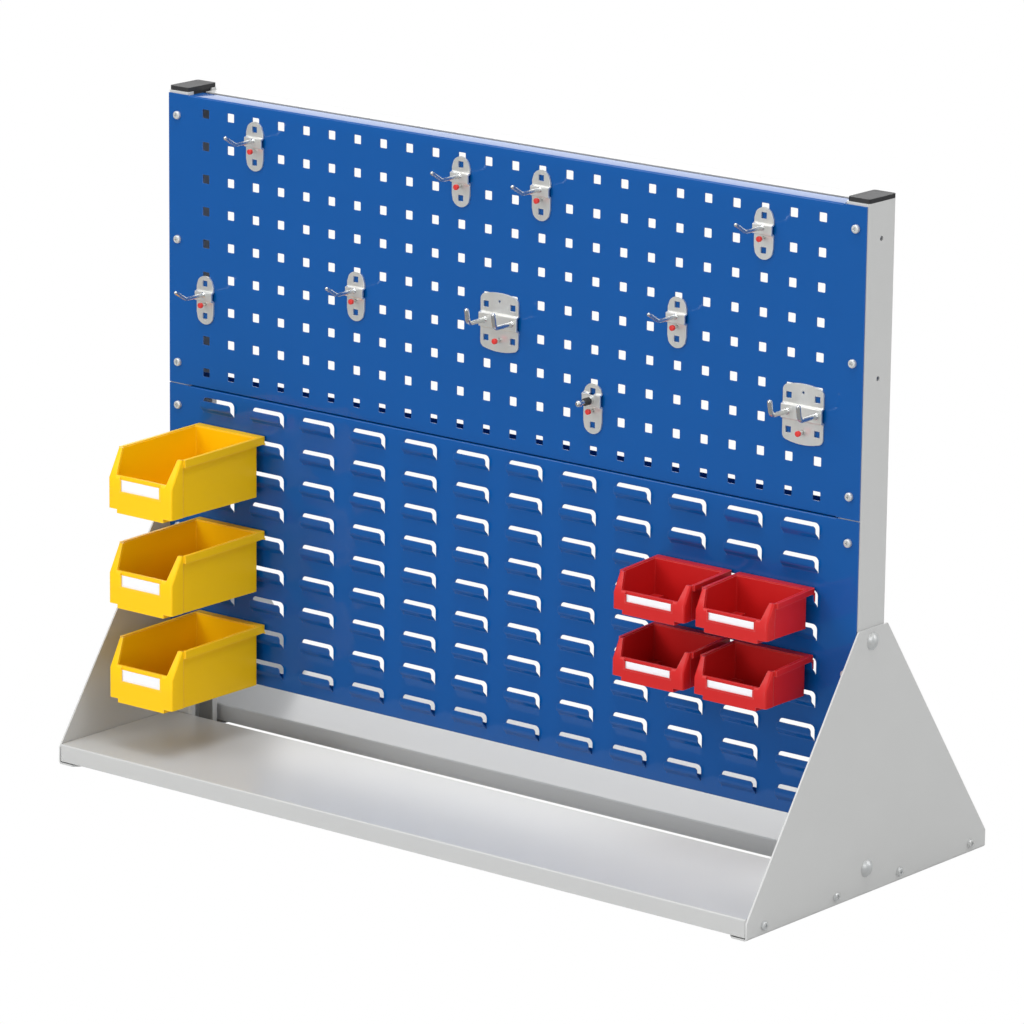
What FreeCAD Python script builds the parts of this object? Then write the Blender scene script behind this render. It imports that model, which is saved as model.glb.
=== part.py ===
import FreeCAD, Part
import math
import os

import Sketcher
from FreeCAD import Placement, Rotation, Vector

# A bench stand of folded sheet steel. Two lipped uprights stand on gussets that
# carry a shelf in front and a shelf behind. A perforated panel and a louvred
# panel are screwed to the front of the uprights. Tool holders hang in the square
# holes, each kept in place by a locking screw, and open bins hang on the louvres.
# Millimetres, +Z up, the front faces -Y. The origin is on the table, below the
# middle of the base. Most bodies are drawn with Y = 0 on the face of the panels.

os.makedirs("parts", exist_ok=True)
doc = FreeCAD.newDocument("pegboard_wall")
sheet = doc.addObject("Spreadsheet::Sheet", "dims")

SIZES = [
    # Frame
    ("wall_width", 990),
    ("front_reach", 189.5),
    ("rear_reach", 252.5),
    ("upright_width", 30),
    ("upright_depth", 50),
    ("upright_gauge", 2),
    ("upright_lip", 9.5),
    ("upright_top", 765.8),
    ("bend_radius", 3),
    ("cap_height", 5),
    ("cap_front_inset", 1.75),
    ("cap_side_inset", 1.2),
    ("plug_depth", 10),
    ("plug_clearance", 0.4),
    ("web_hole", 5.5),
    ("web_hole_drop", 40),
    ("web_hole_pitch", 152),
    ("rail_flange", 20),
    ("rail_height", 25),
    ("rail_gauge", 1.5),
    ("rail_lap", 25),
    ("rail_clearance", 0.5),
    # Base
    ("gusset_gauge", 2),
    ("gusset_height", 300),
    ("gusset_toe", 20),
    ("gusset_top_lap", 2.75),
    ("foot_flange", 35),
    ("foot_chamfer", 15),
    ("shelf_top", 24),
    ("shelf_lip", 20.5),
    ("shelf_gauge", 1.5),
    ("shelf_bend", 2),
    ("shelf_clearance", 0.2),
    ("front_shelf_gap", 0.75),
    ("rear_shelf_gap", 6),
    ("bolt_top_inset", 15),
    ("bolt_low", 29.6),
    ("bolt_shank", 8),
    ("bolt_head", 20.6),
    ("bolt_head_height", 5),
    ("bolt_length", 16),
    ("bolt_hole_clearance", 0.4),
    ("nut_across_flats", 13),
    ("nut_height", 6.5),
    ("shelf_screw_inset", 30),
    ("shelf_screw_height", 11),
    # Panels
    ("panel_gauge", 1.25),
    ("panel_width", 988),
    ("panel_height", 341),
    ("panel_seam", 1),
    ("panel_drop", 2.8),
    ("panel_flange_width", 892),
    ("panel_flange", 23.8),
    ("panel_return", 12),
    ("peg_pitch", 38),
    ("peg_hole", 10),
    ("peg_columns", 24),
    ("peg_rows", 9),
    ("louvre_pitch_across", 76),
    ("louvre_pitch_down", 37.5),
    ("louvre_columns", 12),
    ("louvre_rows", 9),
    ("louvre_first_drop", 9.9),
    ("louvre_slot_width", 48),
    ("louvre_slot_height", 18.5),
    ("louvre_tab_width", 46),
    ("louvre_tab_drop", 2.8),
    ("louvre_tab_bend", 12),
    ("louvre_stand_off", 6.5),
    ("screw_edge", 14.5),
    ("screw_end", 25),
    ("screw_shank", 5),
    ("screw_head", 9.5),
    ("screw_head_height", 3.4),
    ("screw_length", 10),
    ("screw_recess", 4.6),
    ("screw_recess_width", 1.1),
    ("screw_recess_depth", 1.6),
    ("screw_hole_clearance", 0.3),
    # Tool holders
    ("plate_gauge", 2),
    ("plate_width", 25.5),
    ("plate_height", 57),
    ("plate_above_hole", 0.7),
    ("ridge_rise", 3.5),
    ("ridge_height", 13.5),
    ("ridge_above_lower_hole", 8.2),
    ("ridge_slope", 1.5),
    ("ridge_wall", 1.3),
    ("double_width", 54),
    ("double_top", 6.5),
    ("double_height", 67),
    ("double_bow_radius", 86),
    ("double_corner", 5),
    ("double_ridge_height", 18.5),
    ("double_ridge_above_lower_hole", 3),
    ("double_eye", 3),
    ("tab_width", 7.2),
    ("tab_window", 7),
    ("tab_hook", 4.3),
    ("tab_play", 0.3),
    ("lock_above_lower_hole", 5.4),
    ("stud_lock_above_lower_hole", 8),
    ("double_lock_below_lower_hole", 8.9),
    ("wire", 4.5),
    ("wire_above_ridge_middle", 2),
    ("wire_reach", 29.5),
    ("wire_bend", 8),
    ("wire_tip", 22),
    ("wire_tip_angle", 31),
    ("double_wire", 5.5),
    ("double_wire_reach", 28),
    ("double_wire_tip_angle", 80),
    ("double_wire_bend", 7),
    ("double_wire_tip", 18.5),
    ("stud_diameter", 5),
    ("stud_reach", 24.5),
    ("stud_knob", 7.5),
    ("stud_knob_length", 6),
    ("stud_knob_edge", 2.4),
    ("stud_collar", 9),
    ("stud_collar_length", 3.5),
    ("stud_sleeve", 8.6),
    ("stud_sleeve_length", 8),
    ("stud_ridge_height", 16.8),
    ("stud_ridge_above_lower_hole", 11.7),
    ("lock_shank", 3.6),
    ("lock_hole_clearance", 0.5),
    ("lock_cap", 6.4),
    ("lock_cap_length", 4),
    ("lock_reach", 12),
    ("lock_seat", 0.3),
    ("lock_cap_edge", 0.8),
    # Bins
    ("bin_width", 102),
    ("bin_wall", 2.2),
    ("bin_front_wall", 3.2),
    ("bin_rim_overhang", 2.5),
    ("bin_rear_gap", 11.5),
    ("bin_lip_gap", 1.6),
    ("bin_lip", 2.5),
    ("bin_lip_engagement", 9.3),
    ("bin_seat", 0.2),
    ("bin_cheek", 11),
    ("bin_post_inset", 3),
    ("bin_corner", 2.5),
    ("bin_recess", 0.8),
    ("bin_foot_inset", 13),
    ("bin_stop_inset", 12),
    ("bin_stop_height", 3),
    ("bin_stop_drop", 2.5),
    ("bin_stop_gap", 0.3),
    ("card_thickness", 0.5),
    ("card_play", 0.3),
    ("card_lip", 1),
    ("card_overlap", 1.5),
    ("card_drop", 0.5),
    # Yellow bin
    ("long_length", 160),
    ("long_height", 75),
    ("long_rim", 9),
    ("long_rim_fall", 3),
    ("long_slant_run", 17),
    ("long_front_height", 40),
    ("long_opening_lift", 4),
    ("long_foot", 4.5),
    ("long_card_width", 62),
    ("long_card_height", 14.5),
    # Red bin
    ("short_length", 84),
    ("short_height", 48),
    ("short_rim", 6.2),
    ("short_rim_fall", 4),
    ("short_slant_run", 11),
    ("short_front_height", 23),
    ("short_opening_lift", 3),
    ("short_foot", 4.5),
    ("short_card_width", 64),
    ("short_card_height", 9),
    # Places of the bins
    ("yellow_centre", -395.5),
    ("red_left_centre", 277.5),
    ("red_right_centre", 389),
]
for row, (alias, value) in enumerate(SIZES, start=1):
    sheet.set(f"A{row}", alias)
    sheet.set(f"B{row}", str(value))
    sheet.setAlias(f"B{row}", alias)
doc.recompute()

pieces = []


def size(expression):
    """Number that an expression on the sheet comes to."""
    return float(sheet.evalExpression(str(expression)))


def bind(thing, prop, expression):
    """Tie a property of a feature to the sheet."""
    thing.setExpression(prop, str(expression))


def keep(thing, label, x="0", y="0", z="0"):
    """Name a finished piece, and tie its place to the sheet."""
    thing.Label = label
    for axis, expression in zip("xyz", (x, y, z)):
        bind(thing, f"Placement.Base.{axis}", expression)
    pieces.append(thing)
    return thing


def new_body(name):
    return doc.addObject("PartDesign::Body", name)


def new_sketch(body, name, role, lift="0"):
    """Sketch on one of the body's own origin planes, lifted along its normal."""
    sketch = body.newObject("Sketcher::SketchObject", name)
    plane = [face for face in body.Origin.OriginFeatures if face.Role == role][0]
    sketch.AttachmentSupport = [(plane, "")]
    sketch.MapMode = "FlatFace"
    bind(sketch, "AttachmentOffset.Base.z", lift)
    return sketch


def fix_point(sketch, index, end, x, y):
    """Hold one end of a curve at a place given by two expressions."""
    for kind, expression in (("DistanceX", x), ("DistanceY", y)):
        number = sketch.addConstraint(Sketcher.Constraint(kind, -1, 1, index, end, size(expression)))
        bind(sketch, f"Constraints[{number}]", expression)


def add_outline(sketch, points):
    """Closed outline of straight lines, each corner held by expressions."""
    first = sketch.GeometryCount
    count = len(points)
    places = [Vector(size(x), size(y), 0) for x, y in points]
    for k in range(count):
        sketch.addGeometry(Part.LineSegment(places[k], places[(k + 1) % count]), False)
    for k in range(count):
        sketch.addConstraint(Sketcher.Constraint("Coincident", first + k, 2, first + (k + 1) % count, 1))
    for k, (x, y) in enumerate(points):
        fix_point(sketch, first + k, 1, x, y)
    return sketch


def add_circle(sketch, x, y, diameter):
    """Circle held at its centre and by its diameter."""
    circle = Part.Circle(Vector(size(x), size(y), 0), Vector(0, 0, 1), size(diameter) / 2)
    index = sketch.addGeometry(circle, False)
    fix_point(sketch, index, 3, x, y)
    number = sketch.addConstraint(Sketcher.Constraint("Diameter", index, size(diameter)))
    bind(sketch, f"Constraints[{number}]", diameter)
    return sketch


def pad(body, sketch, length, reverse=False, symmetric=False):
    feature = body.newObject("PartDesign::Pad", sketch.Name + "_pad")
    feature.Profile = sketch
    feature.SideType = "Symmetric" if symmetric else "One side"
    feature.Reversed = reverse
    bind(feature, "Length", length)
    return feature


def pocket(body, sketch, length=None, reverse=False, symmetric=False):
    """Cut a sketch into the body: by a length, or through all of it both ways."""
    feature = body.newObject("PartDesign::Pocket", sketch.Name + "_cut")
    feature.Profile = sketch
    feature.Reversed = reverse
    if length is None:
        feature.SideType = "Symmetric"
        feature.Type = "ThroughAll"
    else:
        feature.SideType = "Symmetric" if symmetric else "One side"
        bind(feature, "Length", length)
    return feature


def prism(body, name, role, points, length, lift="0", reverse=False, symmetric=False):
    """Outline on a plane, padded."""
    sketch = add_outline(new_sketch(body, name, role, lift), points)
    return pad(body, sketch, length, reverse, symmetric)


def slot(body, name, role, points, length=None, lift="0", reverse=False, symmetric=False):
    """Outline on a plane, cut out."""
    sketch = add_outline(new_sketch(body, name, role, lift), points)
    return pocket(body, sketch, length, reverse, symmetric)


def drill(body, name, role, centres, diameter, length=None, lift="0", reverse=False):
    """Round holes on a plane, cut through or to a depth."""
    sketch = new_sketch(body, name, role, lift)
    for x, y in centres:
        add_circle(sketch, x, y, diameter)
    return pocket(body, sketch, length, reverse)


def rectangle(x0, x1, y0, y1):
    return [(x0, y0), (x1, y0), (x1, y1), (x0, y1)]


def round_edges(body, name, radius, wanted, curve="Part::GeomLine"):
    """Fillet the edges of the body's tip whose direction and middle are wanted."""
    doc.recompute()
    tip = body.Tip
    names = []
    for number, edge in enumerate(tip.Shape.Edges, start=1):
        if edge.Curve.TypeId != curve:
            continue
        middle = edge.CenterOfMass
        direction = edge.tangentAt(edge.FirstParameter)
        if wanted(middle, direction):
            names.append(f"Edge{number}")
    feature = body.newObject("PartDesign::Fillet", name)
    feature.Base = (tip, names)
    bind(feature, "Radius", radius)
    return feature


def near(value, expression):
    return abs(value - size(expression)) < 0.01


def grid_pattern(body, originals, sketch, columns, pitch_across, rows, pitch_down):
    """Repeat features across and down, as far as the counts and pitches say."""
    pattern = body.newObject("PartDesign::MultiTransform", body.Name + "_grid")
    across = body.newObject("PartDesign::LinearPattern", body.Name + "_across")
    across.Direction = (sketch, ["H_Axis"])
    bind(across, "Occurrences", columns)
    bind(across, "Length", f"({columns} - 1) * {pitch_across}")
    down = body.newObject("PartDesign::LinearPattern", body.Name + "_down")
    down.Direction = (sketch, ["V_Axis"])
    down.Reversed = True
    bind(down, "Occurrences", rows)
    bind(down, "Length", f"({rows} - 1) * {pitch_down}")
    pattern.Originals = originals
    pattern.Transformations = [across, down]
    pattern.Refine = False
    body.Tip = pattern
    return pattern


# Places that several pieces share, as expressions on the sheet.
FACE = "(dims.front_reach - dims.rear_reach) / 2"
OUTER = "dims.wall_width / 2"
UPRIGHT_FRONT = "dims.panel_gauge"
UPRIGHT_REAR = "(dims.panel_gauge + dims.upright_depth)"
UPRIGHT_MIDDLE = "(dims.panel_gauge + dims.upright_depth / 2)"
PANEL_TOP = "(dims.upright_top - dims.panel_drop)"
LOUVRE_TOP = f"({PANEL_TOP} - dims.panel_height - dims.panel_seam)"
RAIL_SCREW_Z = f"({PANEL_TOP} - dims.rail_height / 2)"
BOLT_HEIGHTS = ("dims.gusset_height - dims.bolt_top_inset", "dims.bolt_low")
SCREW_HOLE = "(dims.screw_shank + dims.screw_hole_clearance)"
SHELF_SCREWS = (
    "-dims.front_reach + dims.shelf_screw_inset",
    f"{UPRIGHT_FRONT} - dims.front_shelf_gap - dims.shelf_screw_inset",
    f"{UPRIGHT_REAR} + dims.rear_shelf_gap + dims.shelf_screw_inset",
    "dims.rear_reach - dims.shelf_screw_inset",
)
SIDES = (("left", -1), ("right", 1))


def panel_screw_heights(top):
    """Heights of the three screws at each end of a panel whose top is given."""
    return (
        f"{top} - dims.screw_end",
        f"{top} - dims.panel_height / 2",
        f"{top} - dims.panel_height + dims.screw_end",
    )


SCREW_HEIGHTS = panel_screw_heights(PANEL_TOP) + panel_screw_heights(LOUVRE_TOP)


# Uprights: roll-formed channel with two lips, open towards the middle of the wall.
for side, sign in SIDES:
    body = new_body(f"{side}_upright_body")
    web = f"{sign} * ({OUTER})"
    web_inside = f"{sign} * ({OUTER} - dims.upright_gauge)"
    edge = f"{sign} * ({OUTER} - dims.upright_width)"
    edge_inside = f"{sign} * ({OUTER} - dims.upright_width + dims.upright_gauge)"
    screw_x = f"{sign} * ({OUTER} - dims.screw_edge)"
    channel = [
        (web, UPRIGHT_FRONT),
        (edge, UPRIGHT_FRONT),
        (edge, f"{UPRIGHT_FRONT} + dims.upright_lip"),
        (edge_inside, f"{UPRIGHT_FRONT} + dims.upright_lip"),
        (edge_inside, f"{UPRIGHT_FRONT} + dims.upright_gauge"),
        (web_inside, f"{UPRIGHT_FRONT} + dims.upright_gauge"),
        (web_inside, f"{UPRIGHT_REAR} - dims.upright_gauge"),
        (edge_inside, f"{UPRIGHT_REAR} - dims.upright_gauge"),
        (edge_inside, f"{UPRIGHT_REAR} - dims.upright_lip"),
        (edge, f"{UPRIGHT_REAR} - dims.upright_lip"),
        (edge, UPRIGHT_REAR),
        (web, UPRIGHT_REAR),
    ]
    length = "dims.upright_top - dims.gusset_gauge"
    prism(body, f"{side}_channel", "XY_Plane", channel, length, lift="dims.gusset_gauge")

    def outer_corner(middle, direction):
        across = near(middle.x, web) or near(middle.x, edge)
        along = near(middle.y, UPRIGHT_FRONT) or near(middle.y, UPRIGHT_REAR)
        return abs(direction.z) > 0.9 and across and along

    def inner_corner(middle, direction):
        across = near(middle.x, web_inside) or near(middle.x, edge_inside)
        along = (near(middle.y, f"{UPRIGHT_FRONT} + dims.upright_gauge")
                 or near(middle.y, f"{UPRIGHT_REAR} - dims.upright_gauge"))
        return abs(direction.z) > 0.9 and across and along

    round_edges(body, f"{side}_channel_outside", "dims.bend_radius", outer_corner)
    round_edges(body, f"{side}_channel_inside", "dims.bend_radius - dims.upright_gauge", inner_corner)
    bolt_holes = [(UPRIGHT_MIDDLE, height) for height in BOLT_HEIGHTS]
    drill(body, f"{side}_bolt_holes", "YZ_Plane", bolt_holes, "dims.bolt_shank + dims.bolt_hole_clearance")
    web_holes = [
        (UPRIGHT_MIDDLE, "dims.upright_top - dims.web_hole_drop"),
        (UPRIGHT_MIDDLE, "dims.upright_top - dims.web_hole_drop - dims.web_hole_pitch"),
    ]
    drill(body, f"{side}_web_holes", "YZ_Plane", web_holes, "dims.web_hole")
    front_holes = [(screw_x, height) for height in SCREW_HEIGHTS]
    drill(body, f"{side}_front_holes", "XZ_Plane", front_holes, SCREW_HOLE,
          length="dims.panel_gauge + dims.upright_gauge + dims.bend_radius")
    drill(body, f"{side}_rear_hole", "XZ_Plane", [(screw_x, RAIL_SCREW_Z)], SCREW_HOLE,
          length="dims.upright_gauge + dims.bend_radius", lift=f"-{UPRIGHT_REAR}", reverse=True)
    keep(body, f"{side}_upright", y=FACE)

# Caps: moulded plates with a plug that sits inside the channel between its lips.
for side, sign in SIDES:
    body = new_body(f"{side}_cap_body")
    plate = rectangle(
        f"{sign} * ({OUTER})",
        f"{sign} * ({OUTER} - dims.upright_width + dims.cap_side_inset)",
        f"{UPRIGHT_FRONT} + dims.cap_front_inset",
        UPRIGHT_REAR,
    )
    prism(body, f"{side}_cap_plate", "XY_Plane", plate, "dims.cap_height", lift="dims.upright_top")
    plug_gap = "(dims.upright_gauge + dims.plug_clearance)"
    plug = rectangle(
        f"{sign} * ({OUTER} - {plug_gap})",
        f"{sign} * ({OUTER} - dims.upright_width + {plug_gap})",
        f"{UPRIGHT_FRONT} + {plug_gap}",
        f"{UPRIGHT_REAR} - {plug_gap}",
    )
    prism(body, f"{side}_cap_plug", "XY_Plane", plug, "dims.plug_depth", lift="dims.upright_top", reverse=True)

    def cap_corner(middle, direction):
        return abs(direction.z) > 0.9 and middle.z > size("dims.upright_top")

    round_edges(body, f"{side}_cap_corners", "dims.bend_radius", cap_corner)
    keep(body, f"{side}_cap", y=FACE)

# Gussets: triangular side plates, folded inwards at the foot to stand on.
for side, sign in SIDES:
    body = new_body(f"{side}_gusset_body")
    outline = [
        ("-dims.front_reach", "0"),
        ("dims.rear_reach", "0"),
        ("dims.rear_reach", "dims.gusset_toe"),
        (f"{UPRIGHT_REAR} + dims.gusset_top_lap", "dims.gusset_height"),
        (UPRIGHT_FRONT, "dims.gusset_height"),
        ("-dims.front_reach", "dims.gusset_toe"),
    ]
    prism(body, f"{side}_gusset_side", "YZ_Plane", outline, "dims.gusset_gauge",
          lift=f"{sign} * ({OUTER})", reverse=sign < 0)
    outside = f"{sign} * ({OUTER} + dims.gusset_gauge)"
    inside = f"{sign} * ({OUTER} + dims.gusset_gauge - dims.foot_flange)"
    inside_corner = f"{sign} * ({OUTER} + dims.gusset_gauge - dims.foot_flange + dims.foot_chamfer)"
    foot = [
        (outside, "-dims.front_reach"),
        (outside, "dims.rear_reach"),
        (inside_corner, "dims.rear_reach"),
        (inside, "dims.rear_reach - dims.foot_chamfer"),
        (inside, "-dims.front_reach + dims.foot_chamfer"),
        (inside_corner, "-dims.front_reach"),
    ]
    prism(body, f"{side}_gusset_foot", "XY_Plane", foot, "dims.gusset_gauge")

    def foot_bend(middle, direction):
        return abs(direction.y) > 0.9 and near(middle.x, outside) and near(middle.z, "0")

    round_edges(body, f"{side}_gusset_bend", "dims.bend_radius", foot_bend)
    bolt_holes = [(UPRIGHT_MIDDLE, height) for height in BOLT_HEIGHTS]
    drill(body, f"{side}_gusset_bolt_holes", "YZ_Plane", bolt_holes,
          "dims.bolt_shank + dims.bolt_hole_clearance")
    shelf_holes = [(place, "dims.shelf_screw_height") for place in SHELF_SCREWS]
    drill(body, f"{side}_gusset_shelf_holes", "YZ_Plane", shelf_holes, SCREW_HOLE)
    keep(body, f"{side}_gusset", y=FACE)

# Shelves: trays turned down on all four sides, in front of and behind the uprights.
SHELVES = (
    ("front_shelf", "-dims.front_reach", f"{UPRIGHT_FRONT} - dims.front_shelf_gap", SHELF_SCREWS[:2]),
    ("rear_shelf", f"{UPRIGHT_REAR} + dims.rear_shelf_gap", "dims.rear_reach", SHELF_SCREWS[2:]),
)
for name, front, rear, screws in SHELVES:
    body = new_body(f"{name}_body")
    end = f"({OUTER} - dims.shelf_clearance)"
    prism(body, f"{name}_block", "XY_Plane", rectangle(f"-{end}", end, front, rear), "dims.shelf_lip",
          lift="dims.shelf_top - dims.shelf_lip")

    def shelf_bend(middle, direction):
        return middle.z > size("dims.shelf_top - dims.shelf_lip") + 0.01

    round_edges(body, f"{name}_bends", "dims.shelf_bend", shelf_bend)
    end_inside = f"({end} - dims.shelf_gauge)"
    hollow = rectangle(f"-{end_inside}", end_inside, f"{front} + dims.shelf_gauge", f"{rear} - dims.shelf_gauge")
    slot(body, f"{name}_hollow", "XY_Plane", hollow, "dims.shelf_lip - dims.shelf_gauge",
         lift="dims.shelf_top - dims.shelf_lip", reverse=True)
    drill(body, f"{name}_holes", "YZ_Plane", [(place, "dims.shelf_screw_height") for place in screws],
          SCREW_HOLE)
    keep(body, name, y=FACE)

# Top rail: an angle between the tops of the uprights, screwed to their backs.
body = new_body("rear_top_rail_body")
rail_end = f"({OUTER} - dims.upright_width - dims.rail_clearance)"
rail_lap_end = f"({rail_end} + dims.rail_lap)"
rail_front = f"{UPRIGHT_REAR} - dims.rail_flange"
rail_back = f"{UPRIGHT_REAR} + dims.rail_gauge"
prism(body, "rail_top", "XY_Plane", rectangle(f"-{rail_end}", rail_end, rail_front, rail_back),
      "dims.rail_gauge", lift=PANEL_TOP, reverse=True)
prism(body, "rail_back", "XY_Plane", rectangle(f"-{rail_lap_end}", rail_lap_end, UPRIGHT_REAR, rail_back),
      "dims.rail_height", lift=PANEL_TOP, reverse=True)
rail_holes = [(f"{sign} * ({OUTER} - dims.screw_edge)", RAIL_SCREW_Z) for side, sign in SIDES]
drill(body, "rail_holes", "XZ_Plane", rail_holes, SCREW_HOLE)
keep(body, "rear_top_rail", y=FACE)


def panel_blank(name, top):
    """Sheet with a flange turned back along its top, and a returned flange along its foot."""
    body = new_body(f"{name}_body")
    half = "dims.panel_width / 2"
    foot = f"({top} - dims.panel_height)"
    prism(body, f"{name}_sheet", "XZ_Plane", rectangle(f"-{half}", half, foot, top), "dims.panel_gauge",
          reverse=True)
    flange = rectangle("0", "dims.panel_flange", f"{top} - dims.panel_gauge", top)
    prism(body, f"{name}_top_flange", "YZ_Plane", flange, "dims.panel_flange_width", symmetric=True)
    returned = [
        ("0", foot),
        ("dims.panel_flange", foot),
        ("dims.panel_flange", f"{foot} + dims.panel_return"),
        ("dims.panel_flange - dims.panel_gauge", f"{foot} + dims.panel_return"),
        ("dims.panel_flange - dims.panel_gauge", f"{foot} + dims.panel_gauge"),
        ("0", f"{foot} + dims.panel_gauge"),
    ]
    prism(body, f"{name}_foot_flange", "YZ_Plane", returned, "dims.panel_flange_width", symmetric=True)
    holes = [(f"{sign} * ({OUTER} - dims.screw_edge)", height)
             for side, sign in SIDES for height in panel_screw_heights(top)]
    drill(body, f"{name}_screw_holes", "XZ_Plane", holes, SCREW_HOLE)
    return body


# Perforated panel: square holes on a square grid.
FIRST_COLUMN = "(-(dims.peg_columns - 1) / 2 * dims.peg_pitch)"
FIRST_ROW = f"({PANEL_TOP} - dims.panel_height / 2 + (dims.peg_rows - 1) / 2 * dims.peg_pitch)"
body = panel_blank("perforated_panel", PANEL_TOP)
first_hole = rectangle(
    f"{FIRST_COLUMN} - dims.peg_hole / 2",
    f"{FIRST_COLUMN} + dims.peg_hole / 2",
    f"{FIRST_ROW} - dims.peg_hole / 2",
    f"{FIRST_ROW} + dims.peg_hole / 2",
)
hole = slot(body, "peg_hole", "XZ_Plane", first_hole, "dims.panel_gauge * 3", symmetric=True)
grid_pattern(body, [hole], hole.Profile[0], "dims.peg_columns", "dims.peg_pitch",
             "dims.peg_rows", "dims.peg_pitch")
keep(body, "perforated_panel", y=FACE)

# Louvre panel: tabs lanced forwards and up out of slots, for bins to hang on.
LOUVRE_COLUMN = "(-(dims.louvre_columns - 1) / 2 * dims.louvre_pitch_across)"
SLOT_TOP = f"({LOUVRE_TOP} - dims.louvre_first_drop)"
body = panel_blank("louvre_panel", LOUVRE_TOP)
slot_left = f"{LOUVRE_COLUMN} - dims.louvre_slot_width / 2"
slot_right = f"{LOUVRE_COLUMN} + dims.louvre_slot_width / 2"
lanced = rectangle(slot_left, slot_right, f"{SLOT_TOP} - dims.louvre_slot_height", SLOT_TOP)
opening = slot(body, "louvre_slot", "XZ_Plane", lanced, "dims.panel_gauge * 3", symmetric=True)
tab_left = f"{LOUVRE_COLUMN} - dims.louvre_tab_width / 2"
tab_top = f"{SLOT_TOP} - dims.louvre_tab_drop"
tab_bend = f"{SLOT_TOP} - dims.louvre_tab_bend"
ramp_foot = f"{SLOT_TOP} - dims.louvre_slot_height"
tab_side = [
    ("-dims.louvre_stand_off", tab_top),
    ("-dims.louvre_stand_off", tab_bend),
    ("0", ramp_foot),
    ("dims.panel_gauge", ramp_foot),
    ("dims.panel_gauge", f"{ramp_foot} + dims.panel_gauge * 0.5"),
    ("-dims.louvre_stand_off + dims.panel_gauge", f"{tab_bend} + dims.panel_gauge * 0.5"),
    ("-dims.louvre_stand_off + dims.panel_gauge", tab_top),
]
tab = prism(body, "louvre_tab", "YZ_Plane", tab_side, "dims.louvre_tab_width", lift=tab_left)
grid_pattern(body, [opening, tab], opening.Profile[0], "dims.louvre_columns", "dims.louvre_pitch_across",
             "dims.louvre_rows", "dims.louvre_pitch_down")
keep(body, "louvre_panel", y=FACE)


# Fasteners, drawn with the underside of the head at Z = 0 and the shank below it.
def domed(diameter, height):
    """Low dome, cut from a ball."""
    radius = diameter / 2
    ball = (radius ** 2 + height ** 2) / (2 * height)
    dome = Part.makeSphere(ball, Vector(0, 0, height - ball))
    return dome.common(Part.makeCylinder(radius, height))


def cup_bolt():
    shank = Part.makeCylinder(size("dims.bolt_shank") / 2, size("dims.bolt_length"))
    shank.translate(Vector(0, 0, -size("dims.bolt_length")))
    return domed(size("dims.bolt_head"), size("dims.bolt_head_height")).fuse(shank).removeSplitter()


def pan_screw():
    """Screw with a cross recess in its head."""
    height = size("dims.screw_head_height")
    head = Part.makeCylinder(size("dims.screw_head") / 2, height)
    rim = [edge for edge in head.Edges if abs(edge.CenterOfMass.z - height) < 1e-6]
    head = head.makeFillet(height * 0.45, rim)
    shank = Part.makeCylinder(size("dims.screw_shank") / 2, size("dims.screw_length"))
    shank.translate(Vector(0, 0, -size("dims.screw_length")))
    long = size("dims.screw_recess")
    wide = size("dims.screw_recess_width")
    deep = size("dims.screw_recess_depth")
    across = Part.makeBox(long, wide, deep, Vector(-long / 2, -wide / 2, height - deep))
    along = Part.makeBox(wide, long, deep, Vector(-wide / 2, -long / 2, height - deep))
    return head.fuse(shank).cut(across.fuse(along)).removeSplitter()


def hexagon_nut():
    """Nut that stands on Z = 0, with a plain bore a little wider than the shank."""
    corner = size("dims.nut_across_flats") / 2 / math.cos(math.radians(30))
    turns = [math.radians(60 * k) for k in range(7)]
    points = [Vector(corner * math.cos(turn), corner * math.sin(turn), 0) for turn in turns]
    block = Part.Face(Part.makePolygon(points)).extrude(Vector(0, 0, size("dims.nut_height")))
    bore = Part.makeCylinder(size("dims.bolt_shank + dims.bolt_hole_clearance") / 2, size("dims.nut_height"))
    return block.cut(bore)


def group(name, shape, seats):
    """One node of like fasteners, each seated at a place and turned to face a direction."""
    copies = []
    for (x, y, z), direction in seats:
        copy = shape.copy()
        copy.Placement = Placement(Vector(size(x), size(y), size(z)), Rotation(Vector(0, 0, 1), direction))
        copies.append(copy)
    feature = doc.addObject("Part::Feature", f"{name}_group")
    feature.Shape = Part.makeCompound(copies)
    keep(feature, name, y=FACE)


bolt_seats = []
nut_seats = []
shelf_seats = []
panel_seats = []
for side, sign in SIDES:
    outwards = Vector(sign, 0, 0)
    outside = f"{sign} * ({OUTER} + dims.gusset_gauge)"
    for height in BOLT_HEIGHTS:
        bolt_seats.append(((outside, UPRIGHT_MIDDLE, height), outwards))
        nut_seats.append(((f"{sign} * ({OUTER} - dims.upright_gauge)", UPRIGHT_MIDDLE, height), -outwards))
    for place in SHELF_SCREWS:
        shelf_seats.append(((outside, place, "dims.shelf_screw_height"), outwards))
    screw_x = f"{sign} * ({OUTER} - dims.screw_edge)"
    for height in SCREW_HEIGHTS:
        panel_seats.append(((screw_x, "0", height), Vector(0, -1, 0)))
    panel_seats.append(((screw_x, f"{UPRIGHT_REAR} + dims.rail_gauge", RAIL_SCREW_Z), Vector(0, 1, 0)))
group("gusset_bolts", cup_bolt(), bolt_seats)
group("gusset_nuts", hexagon_nut(), nut_seats)
group("shelf_screws", pan_screw(), shelf_seats)
group("panel_screws", pan_screw(), panel_seats)

# Tool holders, drawn with X = 0 on the plate's middle line, Y = 0 on the face of the
# panel, and Z = 0 on the middle of the upper hole that the plate hangs in.
LOWER_HOLE = "(-dims.peg_pitch)"
RIDGE_FACE = "(dims.plate_gauge + dims.ridge_rise)"


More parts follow.
